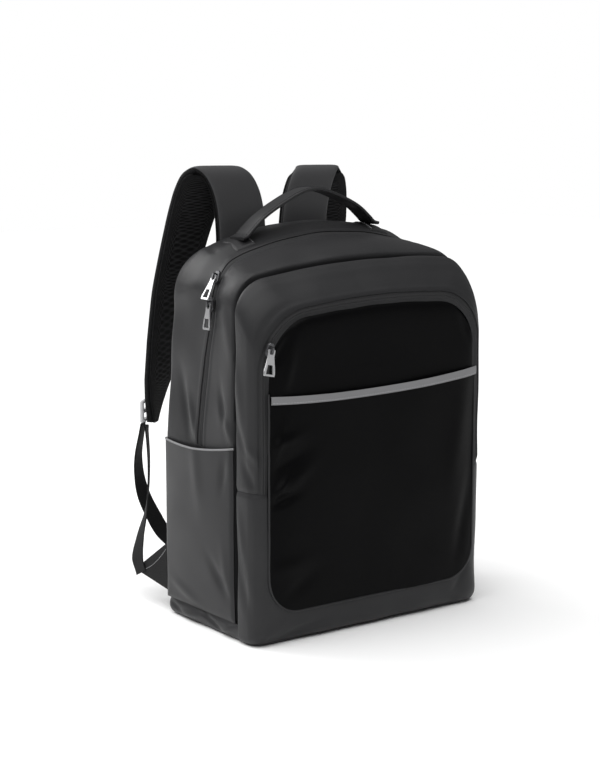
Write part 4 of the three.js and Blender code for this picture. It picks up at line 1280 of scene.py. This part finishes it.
def slip_half(z):
    """Half of the slip pocket's width at a height."""
    size = pockets()
    rise = np.clip(z - size.door_bottom, 0, size.door_foot)
    drop = np.sqrt(np.maximum(size.door_foot**2 - (size.door_foot - rise) ** 2, 0))
    return size.door_width / 2 - size.door_foot + drop


def slip_swell(x, z):
    """How far the pocket stands out there, as a share of its bulge."""
    size = pockets()
    across = np.clip(np.abs(x) / (size.door_width / 2), 0, 1)
    up = np.clip((z - size.door_bottom) / (size.slip_mouth - size.door_bottom), 0, 1)
    return (1 - across**6) * np.sin(np.minimum(up * 1.9, 1) * np.pi / 2)


def slip_points(x, z, lift):
    """Places on the slip pocket, whose mouth sags in its middle and slants down to the left."""
    mouth_sag, mouth_slant = 0.0055, 0.0025
    reach = bag().crease_depth + bag().front_reach + 0.0008
    y = -(reach + pockets().slip_bulge * slip_swell(x, z) + lift)
    across = x / (pockets().door_width / 2)
    up = (z - pockets().door_bottom) / (pockets().slip_mouth - pockets().door_bottom)
    sag = mouth_sag * (1 - across**2) - mouth_slant * across
    return np.stack([x, y, z - sag * np.clip(up, 0, None) ** 3], -1)


def slip_side(count, grow=0.0):
    """The slip pocket's right edge from foot to mouth, closest set where it turns."""
    size = pockets()
    z = size.door_bottom + np.linspace(0, 1, count) ** 2 * (size.slip_mouth - size.door_bottom)
    return np.stack([slip_half(z) + grow, z], -1)


def slip_outline():
    right = slip_side(60)
    foot = [[0, pockets().door_bottom]]
    return np.concatenate([foot, right, right[::-1] * [-1, 1], foot])


def slip_relief(points):
    size = pockets()
    edge = size.door_width / 2 - np.abs(points[..., 0])
    lift = folds_at(points, SLIP_FOLDS) * np.clip(edge / 0.004, 0, 1)
    return lift + waves(points, 0.055, 0.0011, 5)


def build_slip_pocket():
    size = pockets()
    line = slip_outline()
    half = size.door_width / 2
    foot = size.door_foot * DIAGONAL
    low, high = (half - foot, size.door_bottom + foot), (half, size.slip_mouth)

    def place(u, v):
        spots = rounded_patch(u, v, line, low, high)
        x, z = spots[..., 0], spots[..., 1]
        inside = np.maximum(-door_reach(x, z), 0)
        points = slip_points(x, z, 0.0022)
        free = 1 - np.exp(-((inside / 0.009) ** 1.3))
        points[..., 1] = mix(front_depth(x, z) - 0.0012, points[..., 1], free)
        return points

    def relief(u, v, points):
        return slip_relief(points)

    flat = (0.266, 0.225)
    piece = cloth_sheet(
        "slip_pocket_cloth", 160, 140, place, flat, FRONT_MIDDLE, relief, thickness=SINGLE_CLOTH
    )
    finish_piece(piece, door_cloth(), "slip_pocket")
    build_slip_trim()
    build_slip_piping()


def build_slip_piping():
    """The piped seam that joins the pocket's foot and sides to the bag."""
    right = slip_side(80, 0.0004)
    path = along_line(np.concatenate([right[::-1] * [-1, 1], right]), np.linspace(0, 1, 261))
    spots = np.stack([path[:, 0], front_depth(path[:, 0], path[:, 1]) - 0.001, path[:, 1]], -1)
    spots[:, 1] -= waves(spots, 0.02, 0.0004, 8)
    piece = tube("slip_pocket_piping", settle(spots), PIPING_RADIUS)
    finish_piece(piece, body_cloth())


def build_slip_trim():
    size = pockets()

    def place(u, v):
        z = size.slip_mouth - size.trim_height + (size.trim_height + 0.0005) * v
        x = (2 * u - 1) * (slip_half(z) - 0.0005)
        crown = 0.0006 * np.clip(1 - (2 * v - 1) ** 4, 0, 1)
        points = slip_points(x, z, 0.0026 + crown)
        points[..., 1] -= slip_relief(points)
        return points

    piece = cloth_sheet("slip_trim", 160, 12, place, (0.266, 0.0085), FRONT_MIDDLE, thickness=TAPE)
    finish_piece(piece, trim_cloth(), "slip_pocket_trim")
    share = np.linspace(0.004, 0.996, 120)[None, :]
    line = settle(place(share, np.full(share.shape, 0.2)))[0]
    row = stitch_row("slip_trim_stitches", line, np.tile([0.0, -1.0, 0.0], (120, 1)))
    finish_piece(row, thread_cloth())


def build_side_pockets():
    """Two mirrored pockets, sewn down at the foot and sides, with a piped mouth that rises forward."""
    size = pockets()
    shell = bag()
    seam = shell.seam_height + REST_GAP
    front_rise = 0.007

    def right_points(along, up, lift):
        y = mix(shell.rear_edge - 0.002, -shell.crease_depth + 0.002, along)
        dip = size.side_dip * np.sin(np.pi * along) * up
        z = mix(seam, size.side_mouth + front_rise * along**2, up) - dip
        swell = np.clip(np.sin(np.pi * along), 0, 1) ** 0.6
        sewn = 1 - np.exp(-((up / 0.07) ** 1.5))
        open_up = swell * (0.45 + 0.55 * np.sin(np.pi * up / 2)) * sewn
        x = shell.body_width / 2 + REST_GAP + size.side_bulge * open_up + lift
        return np.stack([x, y, z], -1)

    for name, side in SIDES:
        turn = np.array([side, 1, 1])
        centre = np.array([0, 0.01, 0.1])

        def place(u, v):
            return right_points(u, v, 0.0009) * turn

        def relief(u, v, points):
            fixed = points * [-side, 1, 1]
            lift = folds_at(fixed, POCKET_FOLDS) * np.sin(np.pi * u) ** 0.5
            lift += waves(points, 0.04, 0.0007, 6 + side)
            edge = np.minimum(np.minimum(u, 1 - u) * 0.127, v * 0.17)
            return lift + tuck(edge, 0.0014, 0.0025)

        piece = cloth_sheet(
            f"side_pocket_cloth_{name}", 90, 110, place, (0.127, 0.172), centre, relief,
            thickness=SINGLE_CLOTH,
        )
        finish_piece(piece, body_cloth(), f"side_pocket_{name}")
        share = np.linspace(0, 1, 81)[None, :]
        rim = place(share, np.ones(share.shape))
        lift = relief(share, np.ones(share.shape), rim)
        rim = settle(rim + (lift[..., None] - 0.0004) * [side, 0, 0])[0]
        piping = tube(f"side_pocket_piping_{name}", rim, PIPING_RADIUS)
        finish_piece(piping, trim_cloth(), f"side_pocket_trim_{name}")


def build_compartment_wall():
    """The plain wall between the two compartments."""
    size = bag()
    y = -size.crease_depth + 0.0025
    corner = 0.04

    def place(u, v):
        share = back_share(y)
        half = through(MAIN_SECTIONS, "low", share, "back") * size.body_width / 2 - 0.006
        top = through(MAIN_SECTIONS, "top", share, "back") * size.body_height - 0.01
        z = mix(0.006, top, v)
        over = np.clip(z - (top - corner), 0, corner)
        width = half - corner + np.sqrt(np.maximum(corner**2 - over**2, 0))
        width = np.minimum(width, half - 0.01 * (z > size.front_height * 0.5))
        return np.stack([(2 * u - 1) * width, y + 0 * u, z], -1)

    flat, behind = (0.28, 0.36), np.array([0, 0.05, 0.2])
    piece = cloth_sheet("divider_cloth", 60, 80, place, flat, behind, thickness=SINGLE_CLOTH)
    finish_piece(piece, strap_cloth(), "compartment_wall")


def build_back_panel():
    """The padded back panel, blown up a little from its CAD solid, with sewn air channels."""
    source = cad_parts["back_panel"]
    piece = copied(source, "back_pad")
    piece.matrix_world = source.matrix_world.copy()
    pick(piece)
    bpy.ops.object.transform_apply(location=True, rotation=True, scale=True)
    with editing(piece):
        bpy.ops.mesh.remove_doubles(threshold=1e-5)
    bake(piece, "REMESH", "voxels", mode="VOXEL", voxel_size=0.004)
    swell(piece, 4.0, 0.004)
    bake(piece, "SUBSURF", "round", levels=1, render_levels=1)
    place = points_of(piece.data)
    rear = np.clip((place[:, 1] - bag().rear_edge - 0.003) / 0.004, 0, 1)
    middle = np.clip(1 - (np.abs(place[:, 2] - 0.2) / 0.16) ** 8, 0, 1)
    apart, wide, deep = 0.085, 0.006, 0.003
    for x in (-apart, 0.0, apart):
        groove = np.exp(-(((place[:, 0] - x) / wide) ** 2))
        place[:, 1] -= deep * groove * rear * middle
    place_points(piece.data, place)
    smooth(piece)
    flat_uv(piece)
    finish_piece(piece, mesh_cloth(), "back_panel")


def flat_uv(piece):
    """A UV map in metres straight from the back, for pieces that are nearly flat."""
    mesh = piece.data
    while mesh.uv_layers:
        mesh.uv_layers.remove(mesh.uv_layers[0])
    layer = mesh.uv_layers.new(name="flat")
    loops = np.empty(len(mesh.loops), int)
    mesh.loops.foreach_get("vertex_index", loops)
    place = points_of(mesh)[loops]
    layer.data.foreach_set("uv", place[:, [0, 2]].reshape(-1))


def swell(piece, pressure, cap, frames=20):
    """Blows a closed mesh up with the cloth solver and keeps each point within the cap."""
    before = points_of(piece.data)
    pick(piece)
    cloth = piece.modifiers.new("swell", "CLOTH")
    cloth.settings.use_pressure = True
    cloth.settings.uniform_pressure_force = pressure
    cloth.settings.quality = 5
    cloth.settings.effector_weights.gravity = 0
    cloth.point_cache.frame_end = frames
    scene = bpy.context.scene
    for at in range(1, frames + 1):
        scene.frame_set(at)
    bpy.ops.object.modifier_apply(modifier="swell")
    scene.frame_set(1)
    move = points_of(piece.data) - before
    length = np.linalg.norm(move, axis=1, keepdims=True)
    move *= np.minimum(1, cap / np.maximum(length, 1e-9))
    place_points(piece.data, before + move)


# The handle, straps and webbing


def spline_points(line, make, count):
    """A smooth line of places through a table's rows, with the row number at each place."""
    places = np.array([make(row) for row in line])
    gaps = np.sqrt(np.linalg.norm(np.diff(places, axis=0), axis=1))
    knots = np.concatenate([[0], np.cumsum(gaps)])
    rows = np.linspace(0, len(line) - 1, count)
    i = np.clip(rows.astype(int), 0, len(line) - 2)
    t = (rows - i)[:, None]
    slope = np.gradient(places, knots, axis=0)
    return curve_between(places, slope, gaps[i][:, None], i, t), rows


def row_value(line, key, rows):
    return np.interp(rows, np.arange(len(line)), [row[key] for row in line])


def band_piece(name, places, across, half, low, high, flat, around, power, sheared=False, puff=0.0):
    """A closed band along a line of places. across is the way its width runs at each place, low and
    high are its two faces, a small power squares its edges and puff swells its middle."""
    along = unit(np.gradient(places, axis=0))
    side = across.copy()
    if not sheared:
        side -= along * (side * along).sum(1, keepdims=True)
    side = unit(side)
    out = unit(np.cross(along, side))
    count = len(places)
    middle = (low + high) / 2

    def place(u, v):
        turn = u * 2 * np.pi
        c, s = np.cos(turn), np.sin(turn)
        wide = np.sign(c) * np.abs(c) ** power
        tall = np.sign(s) * np.abs(s) ** 0.55
        j = np.round(v * (count - 1)).astype(int)
        thick = (high - low) / 2 + puff * (1 - wide**4)
        reach, rise = half[j] * wide, middle + thick * tall
        return places[j] + side[j] * reach[..., None] + out[j] * rise[..., None]

    return closed_loft(name, around, count - 1, place, flat), side, out


def handle_places(count):
    size = straps()
    half = size.handle_span / 2
    share = back_share(size.handle_place)
    form = main_form(np.array(share), bag().seam_height)
    flat, crown = crown_of(form)
    foot = float(form["top"] - crown * (half / flat) ** 2) + 0.004

    def make(row):
        return (row["out"] * half, size.handle_place, mix(foot, size.handle_top, row["rise"]))

    places, _ = spline_points(HANDLE_LINE, make, count)
    return settle(places)


def build_handle():
    """The handle's band with two rows of stitches, and a sewn patch at each end."""
    size = straps()
    count = 121
    places = handle_places(count)
    across = np.tile([0.0, 1.0, 0.0], (count, 1))
    half = np.full(count, size.handle_width / 2)
    thick = size.handle_thickness / 2
    piece, side, out = band_piece(
        "handle_band", places, across, half, -thick, thick, (0.058, 0.23), around=36, power=0.22
    )
    finish_piece(piece, body_cloth(), "handle")
    for label, place in (("front", -0.4), ("back", 0.4)):
        line = places + side * size.handle_width * place + out * (thick + 0.0001)
        row = stitch_row(f"handle_stitches_{label}", line[8:-8], out[8:-8])
        finish_piece(row, webbing_cloth())
    for name, way in SIDES:
        build_handle_patch(name, way)


def build_handle_patch(name, way):
    size = straps()
    middle = way * (size.handle_span / 2 - 0.0022)
    width, reach = 0.024, size.handle_width / 2 + 0.003
    u_table = np.linspace(0, 1, 1201)
    share = back_share(size.handle_place)
    x_table = main_points(u_table, np.full(u_table.shape, share))[..., 0]

    def place(u, v):
        x = middle + (u - 0.5) * width
        y = size.handle_place + (v - 0.5) * 2 * reach
        at = np.interp(-x, -x_table, u_table)
        points = main_points(at, back_share(y))
        points[..., 2] += 0.0016
        return points

    def relief(u, v, points):
        edge = np.minimum(np.minimum(u, 1 - u) * width, np.minimum(v, 1 - v) * 2 * reach)
        return tuck(edge, 0.0012, 0.0012) + body_waves(points)

    piece = cloth_sheet(
        f"handle_patch_cloth_{name}", 24, 30, place, (0.024, 2 * reach), BODY_MIDDLE, relief, thickness=0.001
    )
    finish_piece(piece, body_cloth(), f"handle_patch_{name}")
    share = np.linspace(0.06, 0.94, 40)[:, None]
    inner = 0.1 if way > 0 else 0.9
    line = settle(place(np.full(share.shape, inner), share))[:, 0]
    line[:, 2] += 0.0003
    up = np.tile([0.0, 0.0, 1.0], (40, 1))
    row = stitch_row(f"handle_patch_stitches_{name}", line, up, pitch=0.0026, length=0.0019)
    finish_piece(row, thread_cloth())


def strap_place(row):
    size = straps()
    pad = 0.007
    rear = bag().rear_edge + REST_GAP + pad + REST_GAP + size.strap_thickness / 2
    return (
        mix(size.strap_root, size.strap_spread, row["side"]),
        mix(rear, size.strap_reach, row["behind"]),
        size.strap_peak * row["up"],
    )


def twisted(degrees):
    turn = np.radians(degrees)
    return np.stack([-np.cos(turn), np.sin(turn), 0 * turn], -1)


def build_straps():
    size = straps()
    count = 151
    places, rows = spline_points(STRAP_LINE, strap_place, count)
    half = size.strap_width / 2 * row_value(STRAP_LINE, "wide", rows)
    across = twisted(row_value(STRAP_LINE, "turn", rows))
    inner = -size.strap_thickness / 2
    layers = [
        ("strap_pad", inner + size.strap_lining + REST_GAP, -inner, "shoulder_strap", 0.0004),
        ("strap_lining", inner, inner + size.strap_lining, "strap_mesh", 0.0),
    ]
    for name, way in SIDES:
        turn = np.array([way, 1, 1])
        for label, low, high, node, puff in layers:
            if way < 0:
                low, high = -high, -low
            piece, _, _ = band_piece(
                f"{label}_{name}", places * turn, across * turn, half, low, high, (0.14, 0.62),
                around=44, power=0.28, sheared=True, puff=puff,
            )
            if label == "strap_pad":
                strap_finish(piece, f"{node}_{name}", way)
            else:
                finish_piece(piece, mesh_cloth(), f"{node}_{name}")


def strap_finish(piece, node, way):
    """Smooth cloth on the strap's outer face and spacer mesh on its edges."""
    finish_piece(piece, [strap_cloth(), mesh_cloth()], node)
    mesh = piece.data
    layer = mesh.uv_layers[0].data
    start = 0.25 if way > 0 else 0.75
    for face in mesh.polygons:
        across = sum(layer[i].uv[0] for i in face.loop_indices) / len(face.loop_indices) / 0.14
        face.material_index = 0 if abs(across - start) < 0.2 else 1


def lock_place():
    """The middle of the right adjuster, on the outer face of its strap's tip."""
    end = np.array(strap_place(STRAP_LINE[-1]))
    turn = math.radians(LOCK_TURN)
    away = np.array([math.sin(turn), math.cos(turn), 0.0])
    out = straps().strap_thickness / 2 + REST_GAP + 0.0025
    return end + away * out + [0, 0, 0.013]


# The tabs: how far they reach back, the height of their foot and their thickness.
TAB_REACH, TAB_FOOT, TAB_THICKNESS = 0.058, 0.024, 0.002


def tab_inner():
    """The tab's inner face, beside the back edge of the bag."""
    return bag().body_width / 2 * MAIN_SECTIONS[0]["low"] - 0.001


def tab_tip():
    """Where the webbing meets the right tab, on its outer face."""
    back = bag().rear_edge + TAB_REACH - 0.0035
    return np.array([tab_inner() + TAB_THICKNESS, back, TAB_FOOT + 0.0105])


def webbing_places(line, near, far, count):
    top, tip = lock_place(), tab_tip()
    beside = REST_GAP + straps().webbing_thickness / 2

    def make(row):
        return (
            mix(top[0], tip[0] + beside, row["side"]),
            mix(near, far, row["behind"]),
            mix(tip[2], top[2], row["up"]),
        )

    places, rows = spline_points(line, make, count)
    return places, twisted(row_value(line, "turn", rows))


def build_webbing():
    """On each side the webbing, its free end, the tab that holds it and the strap's adjuster."""
    size = straps()
    top = lock_place()
    model = lock_model()
    bands = [
        ("webbing_run", "strap_webbing", WEBBING_LINE, tab_tip()[1], top[1], (0.047, 0.2)),
        ("webbing_end", "webbing_tail", TAIL_LINE, top[1], size.tail_reach, (0.047, 0.17)),
    ]
    thick, count = size.webbing_thickness / 2, 71
    for name, way in SIDES:
        turn = np.array([way, 1, 1])
        for label, node, line, near, far, flat in bands:
            places, across = webbing_places(line, near, far, count)
            half = np.full(count, size.webbing_width / 2)
            piece, _, _ = band_piece(
                f"{label}_{name}", places * turn, across * turn, half, -thick, thick, flat,
                around=28, power=0.15,
            )
            finish_piece(piece, webbing_cloth(), f"{node}_{name}")
        build_tab(name, way)
        build_lock(model, name, way)
    bpy.data.objects.remove(model)


def build_tab(name, way):
    """The folded triangle of webbing cloth that holds the strap's lower end."""
    root = bag().rear_edge + REST_GAP
    back = root + TAB_REACH
    corners = np.array([[root, TAB_FOOT], [back, 0.031], [back, 0.038], [root, 0.075]])

    def place(u, v):
        low = mix(corners[0], corners[1], u[..., None])
        high = mix(corners[3], corners[2], u[..., None])
        spot = mix(low, high, v[..., None])
        x = tab_inner() + TAB_THICKNESS + 0.0006 * np.sin(np.pi * u) * np.sin(np.pi * v)
        return np.stack([way * (x + 0 * spot[..., 0]), spot[..., 0], spot[..., 1]], -1)

    piece, points = grid_piece(f"tab_cloth_{name}", 30, 24, place, (0.058, 0.051))
    turn_out(piece, points, np.array([0, 0.1, 0.04]))
    wall_inside(piece, TAB_THICKNESS)
    bake(piece, "BEVEL", "edge", width=0.0004, segments=2, limit_method="ANGLE")
    smooth(piece)
    finish_piece(piece, webbing_cloth(), f"anchor_tab_{name}")
    share = np.linspace(0.03, 0.97, 30)[:, None]
    line = place(share, mix(0.9, 0.3, share))[:, 0]
    row = stitch_row(f"tab_stitches_{name}", line, np.tile([float(way), 0.0, 0.0], (30, 1)))
    finish_piece(row, thread_cloth())


def block(name, sides, height=0.0):
    deselect()
    bpy.ops.mesh.primitive_cube_add(size=1, location=(0, 0, height))
    piece = named(bpy.context.object, name)
    piece.scale = sides
    bpy.ops.object.transform_apply(location=True, rotation=False, scale=True)
    return piece


def lock_model():
    """The moulded adjuster, upright at the origin: a rounded frame with a middle bar."""
    piece = block("adjuster", (0.034, 0.005, 0.025))
    bake(piece, "BEVEL", "corners", width=0.003, segments=3, limit_method="ANGLE")
    for height in (0.0054, -0.0054):
        window = block("window", (0.026, 0.02, 0.0068), height)
        bake(piece, "BOOLEAN", "window", operation="DIFFERENCE", object=window, solver="EXACT")
        bpy.data.objects.remove(window)
    sharp = math.radians(35)
    bake(piece, "BEVEL", "edges", width=0.0007, segments=2, limit_method="ANGLE", angle_limit=sharp)
    return piece


def build_lock(model, name, way):
    piece = copied(model, f"adjuster_{name}")
    place = Vector(lock_place() * [way, 1, 1])
    turn = -way * math.radians(LOCK_TURN)
    piece.matrix_world = Matrix.Translation(place) @ Matrix.Rotation(turn, 4, "Z")
    pick(piece)
    bpy.ops.object.transform_apply(location=True, rotation=True, scale=True)
    smooth(piece, 35)
    material = hard_material("adjuster_plastic", colours().plastic, 0.42, 0.0, 0.15)
    finish_piece(piece, material, f"ladder_lock_{name}")


def dress_metal():
    """Sliders and pulls keep their CAD meshes and get their own metal."""
    slider = hard_material("slider_metal", colours().slider, 0.35, 0.9, 0.3)
    pull = hard_material("pull_metal", colours().pull, 0.36, 1.0, 0.3)
    for node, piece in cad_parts.items():
        if "slider" in node or "pull" in node:
            piece.data.materials.clear()
            piece.data.materials.append(slider if "slider" in node else pull)


# Floor, lights and camera


def added(name, data, place, way):
    """Puts a light or the camera into the scene, looking along a direction."""
    one = bpy.data.objects.new(name, data)
    bpy.context.scene.collection.objects.link(one)
    one.location = place
    one.rotation_euler = Vector(way).to_track_quat("-Z", "Y").to_euler()
    return one


def build_floor():
    deselect()
    bpy.ops.mesh.primitive_grid_add(x_subdivisions=8, y_subdivisions=8, size=14)
    floor = named(bpy.context.object, "studio_floor")
    material, tree, shader = material_start("studio_paper")
    cloud = grouped(tree, unevenness_group(), "Object", "Place", Scale=0.6, Amount=0.02)
    paper = shaded(tree, (0.93, 0.93, 0.93), cloud.outputs["Shade"])
    tree.links.new(paper, shader.inputs["Base Color"])
    tuned(shader, Roughness=0.9, Specular_IOR_Level=0.1)
    floor.data.materials.append(material)


def build_light():
    """A plain pale room: it fills the shadows weakly and looks white behind the bag."""
    world = bpy.context.scene.world or bpy.data.worlds.new("studio")
    bpy.context.scene.world = world
    world.use_nodes = True
    tree = world.node_tree
    fill = tuned(tree.nodes["Background"], Color=(1, 1, 1, 1), Strength=0.16)
    seen = tuned(tree.nodes.new("ShaderNodeBackground"), Color=(1, 1, 1, 1))
    both = tree.nodes.new("ShaderNodeMixShader")
    rays = tree.nodes.new("ShaderNodeLightPath")
    tree.links.new(rays.outputs["Is Camera Ray"], both.inputs["Fac"])
    tree.links.new(fill.outputs["Background"], both.inputs[1])
    tree.links.new(seen.outputs["Background"], both.inputs[2])
    tree.links.new(both.outputs["Shader"], tree.nodes["World Output"].inputs["Surface"])

    overhead = bpy.data.lights.new("overhead", "SUN")
    overhead.energy, overhead.angle = 3.4, math.radians(80)
    added("overhead", overhead, (0, 0, 0), (0.3, 0.12, -0.94))
    key = bpy.data.lights.new("key", "AREA")
    key.energy, key.size = 23, 1.3
    place, target = Vector((-0.75, 1.6, 1.55)), Vector((-0.05, 0, 0.35))
    added("key", key, place, target - place)


def build_camera():
    """The photo's viewing angle: to the bag's zip side and a little down."""
    data = bpy.data.cameras.new("camera")
    data.lens, data.sensor_width = 73.85, 36
    turn, pitch = math.radians(36.3), math.radians(8.7)
    level = math.cos(pitch)
    way = (math.sin(turn) * level, math.cos(turn) * level, -math.sin(pitch))
    scene = bpy.context.scene
    scene.camera = added("camera", data, (-1.0113, -1.3361, 0.4917), way)
    scene.view_settings.view_transform = "Standard"


class OBJECT_OT_backpack_body(bpy.types.Operator):
    """Builds the main compartment's cloth, its zip, the base and the divider"""

    bl_idname = "object.backpack_body"
    bl_label = "Body cloth"

    def execute(self, context):
        build_base()
        build_main_cloth()
        build_main_zip()
        build_compartment_wall()
        return {"FINISHED"}


class OBJECT_OT_backpack_front(bpy.types.Operator):
    """Builds the front compartment's cloth, its zip, the door and the slip pocket"""

    bl_idname = "object.backpack_front"
    bl_label = "Front compartment"

    def execute(self, context):
        build_front_upper()
        build_front_lower()
        build_front_zip()
        build_door()
        build_slip_pocket()
        return {"FINISHED"}


class OBJECT_OT_backpack_side_pockets(bpy.types.Operator):
    """Builds the two side pockets with their piping"""

    bl_idname = "object.backpack_side_pockets"
    bl_label = "Side pockets"

    def execute(self, context):
        build_side_pockets()
        return {"FINISHED"}


class OBJECT_OT_backpack_back_panel(bpy.types.Operator):
    """Builds the padded back panel"""

    bl_idname = "object.backpack_back_panel"
    bl_label = "Back panel"

    def execute(self, context):
        build_back_panel()
        return {"FINISHED"}


class OBJECT_OT_backpack_handle(bpy.types.Operator):
    """Builds the carrying handle and its sewn patches"""

    bl_idname = "object.backpack_handle"
    bl_label = "Handle"

    def execute(self, context):
        build_handle()
        return {"FINISHED"}


class OBJECT_OT_backpack_straps(bpy.types.Operator):
    """Builds the shoulder straps, their webbing, tabs and adjusters"""

    bl_idname = "object.backpack_straps"
    bl_label = "Shoulder straps"

    def execute(self, context):
        build_straps()
        build_webbing()
        return {"FINISHED"}


class OBJECT_OT_backpack_metal(bpy.types.Operator):
    """Gives the zip sliders and pulls their metal"""

    bl_idname = "object.backpack_metal"
    bl_label = "Zip sliders and pulls"

    def execute(self, context):
        dress_metal()
        return {"FINISHED"}


class OBJECT_OT_backpack_stage(bpy.types.Operator):
    """Sets the floor, the lights and the camera"""

    bl_idname = "object.backpack_stage"
    bl_label = "Stage"

    def execute(self, context):
        build_floor()
        build_light()
        build_camera()
        return {"FINISHED"}


OPERATORS = (
    OBJECT_OT_backpack_stage,
    OBJECT_OT_backpack_body,
    OBJECT_OT_backpack_front,
    OBJECT_OT_backpack_side_pockets,
    OBJECT_OT_backpack_back_panel,
    OBJECT_OT_backpack_handle,
    OBJECT_OT_backpack_straps,
    OBJECT_OT_backpack_metal,
)


class VIEW3D_PT_backpack(bpy.types.Panel):
    """Lists the backpack's pieces, sizes and colours"""

    bl_idname = "VIEW3D_PT_backpack"
    bl_label = "Laptop backpack"
    bl_space_type = "VIEW_3D"
    bl_region_type = "UI"
    bl_category = "Backpack"

    def draw(self, context):
        for one in OPERATORS:
            self.layout.operator(one.bl_idname, text=one.bl_label)
        for group in ("bag_sizes", "pocket_sizes", "strap_sizes", "bag_colours"):
            box = self.layout.box()
            values = getattr(context.scene, group)
            for name in values.__annotations__:
                box.prop(values, name)


GROUPS = (BagSizes, PocketSizes, StrapSizes, BagColours)


def register():
    for one in (*GROUPS, *OPERATORS, VIEW3D_PT_backpack):
        bpy.utils.register_class(one)
    bpy.types.Scene.bag_sizes = bpy.props.PointerProperty(type=BagSizes)
    bpy.types.Scene.pocket_sizes = bpy.props.PointerProperty(type=PocketSizes)
    bpy.types.Scene.strap_sizes = bpy.props.PointerProperty(type=StrapSizes)
    bpy.types.Scene.bag_colours = bpy.props.PointerProperty(type=BagColours)


def unregister():
    for name in ("bag_colours", "strap_sizes", "pocket_sizes", "bag_sizes"):
        delattr(bpy.types.Scene, name)
    for one in reversed((*GROUPS, *OPERATORS, VIEW3D_PT_backpack)):
        bpy.utils.unregister_class(one)


def main():
    register()
    for one in OPERATORS:
        group, name = one.bl_idname.split(".")
        getattr(getattr(bpy.ops, group), name)()


if __name__ == "__main__":
    main()
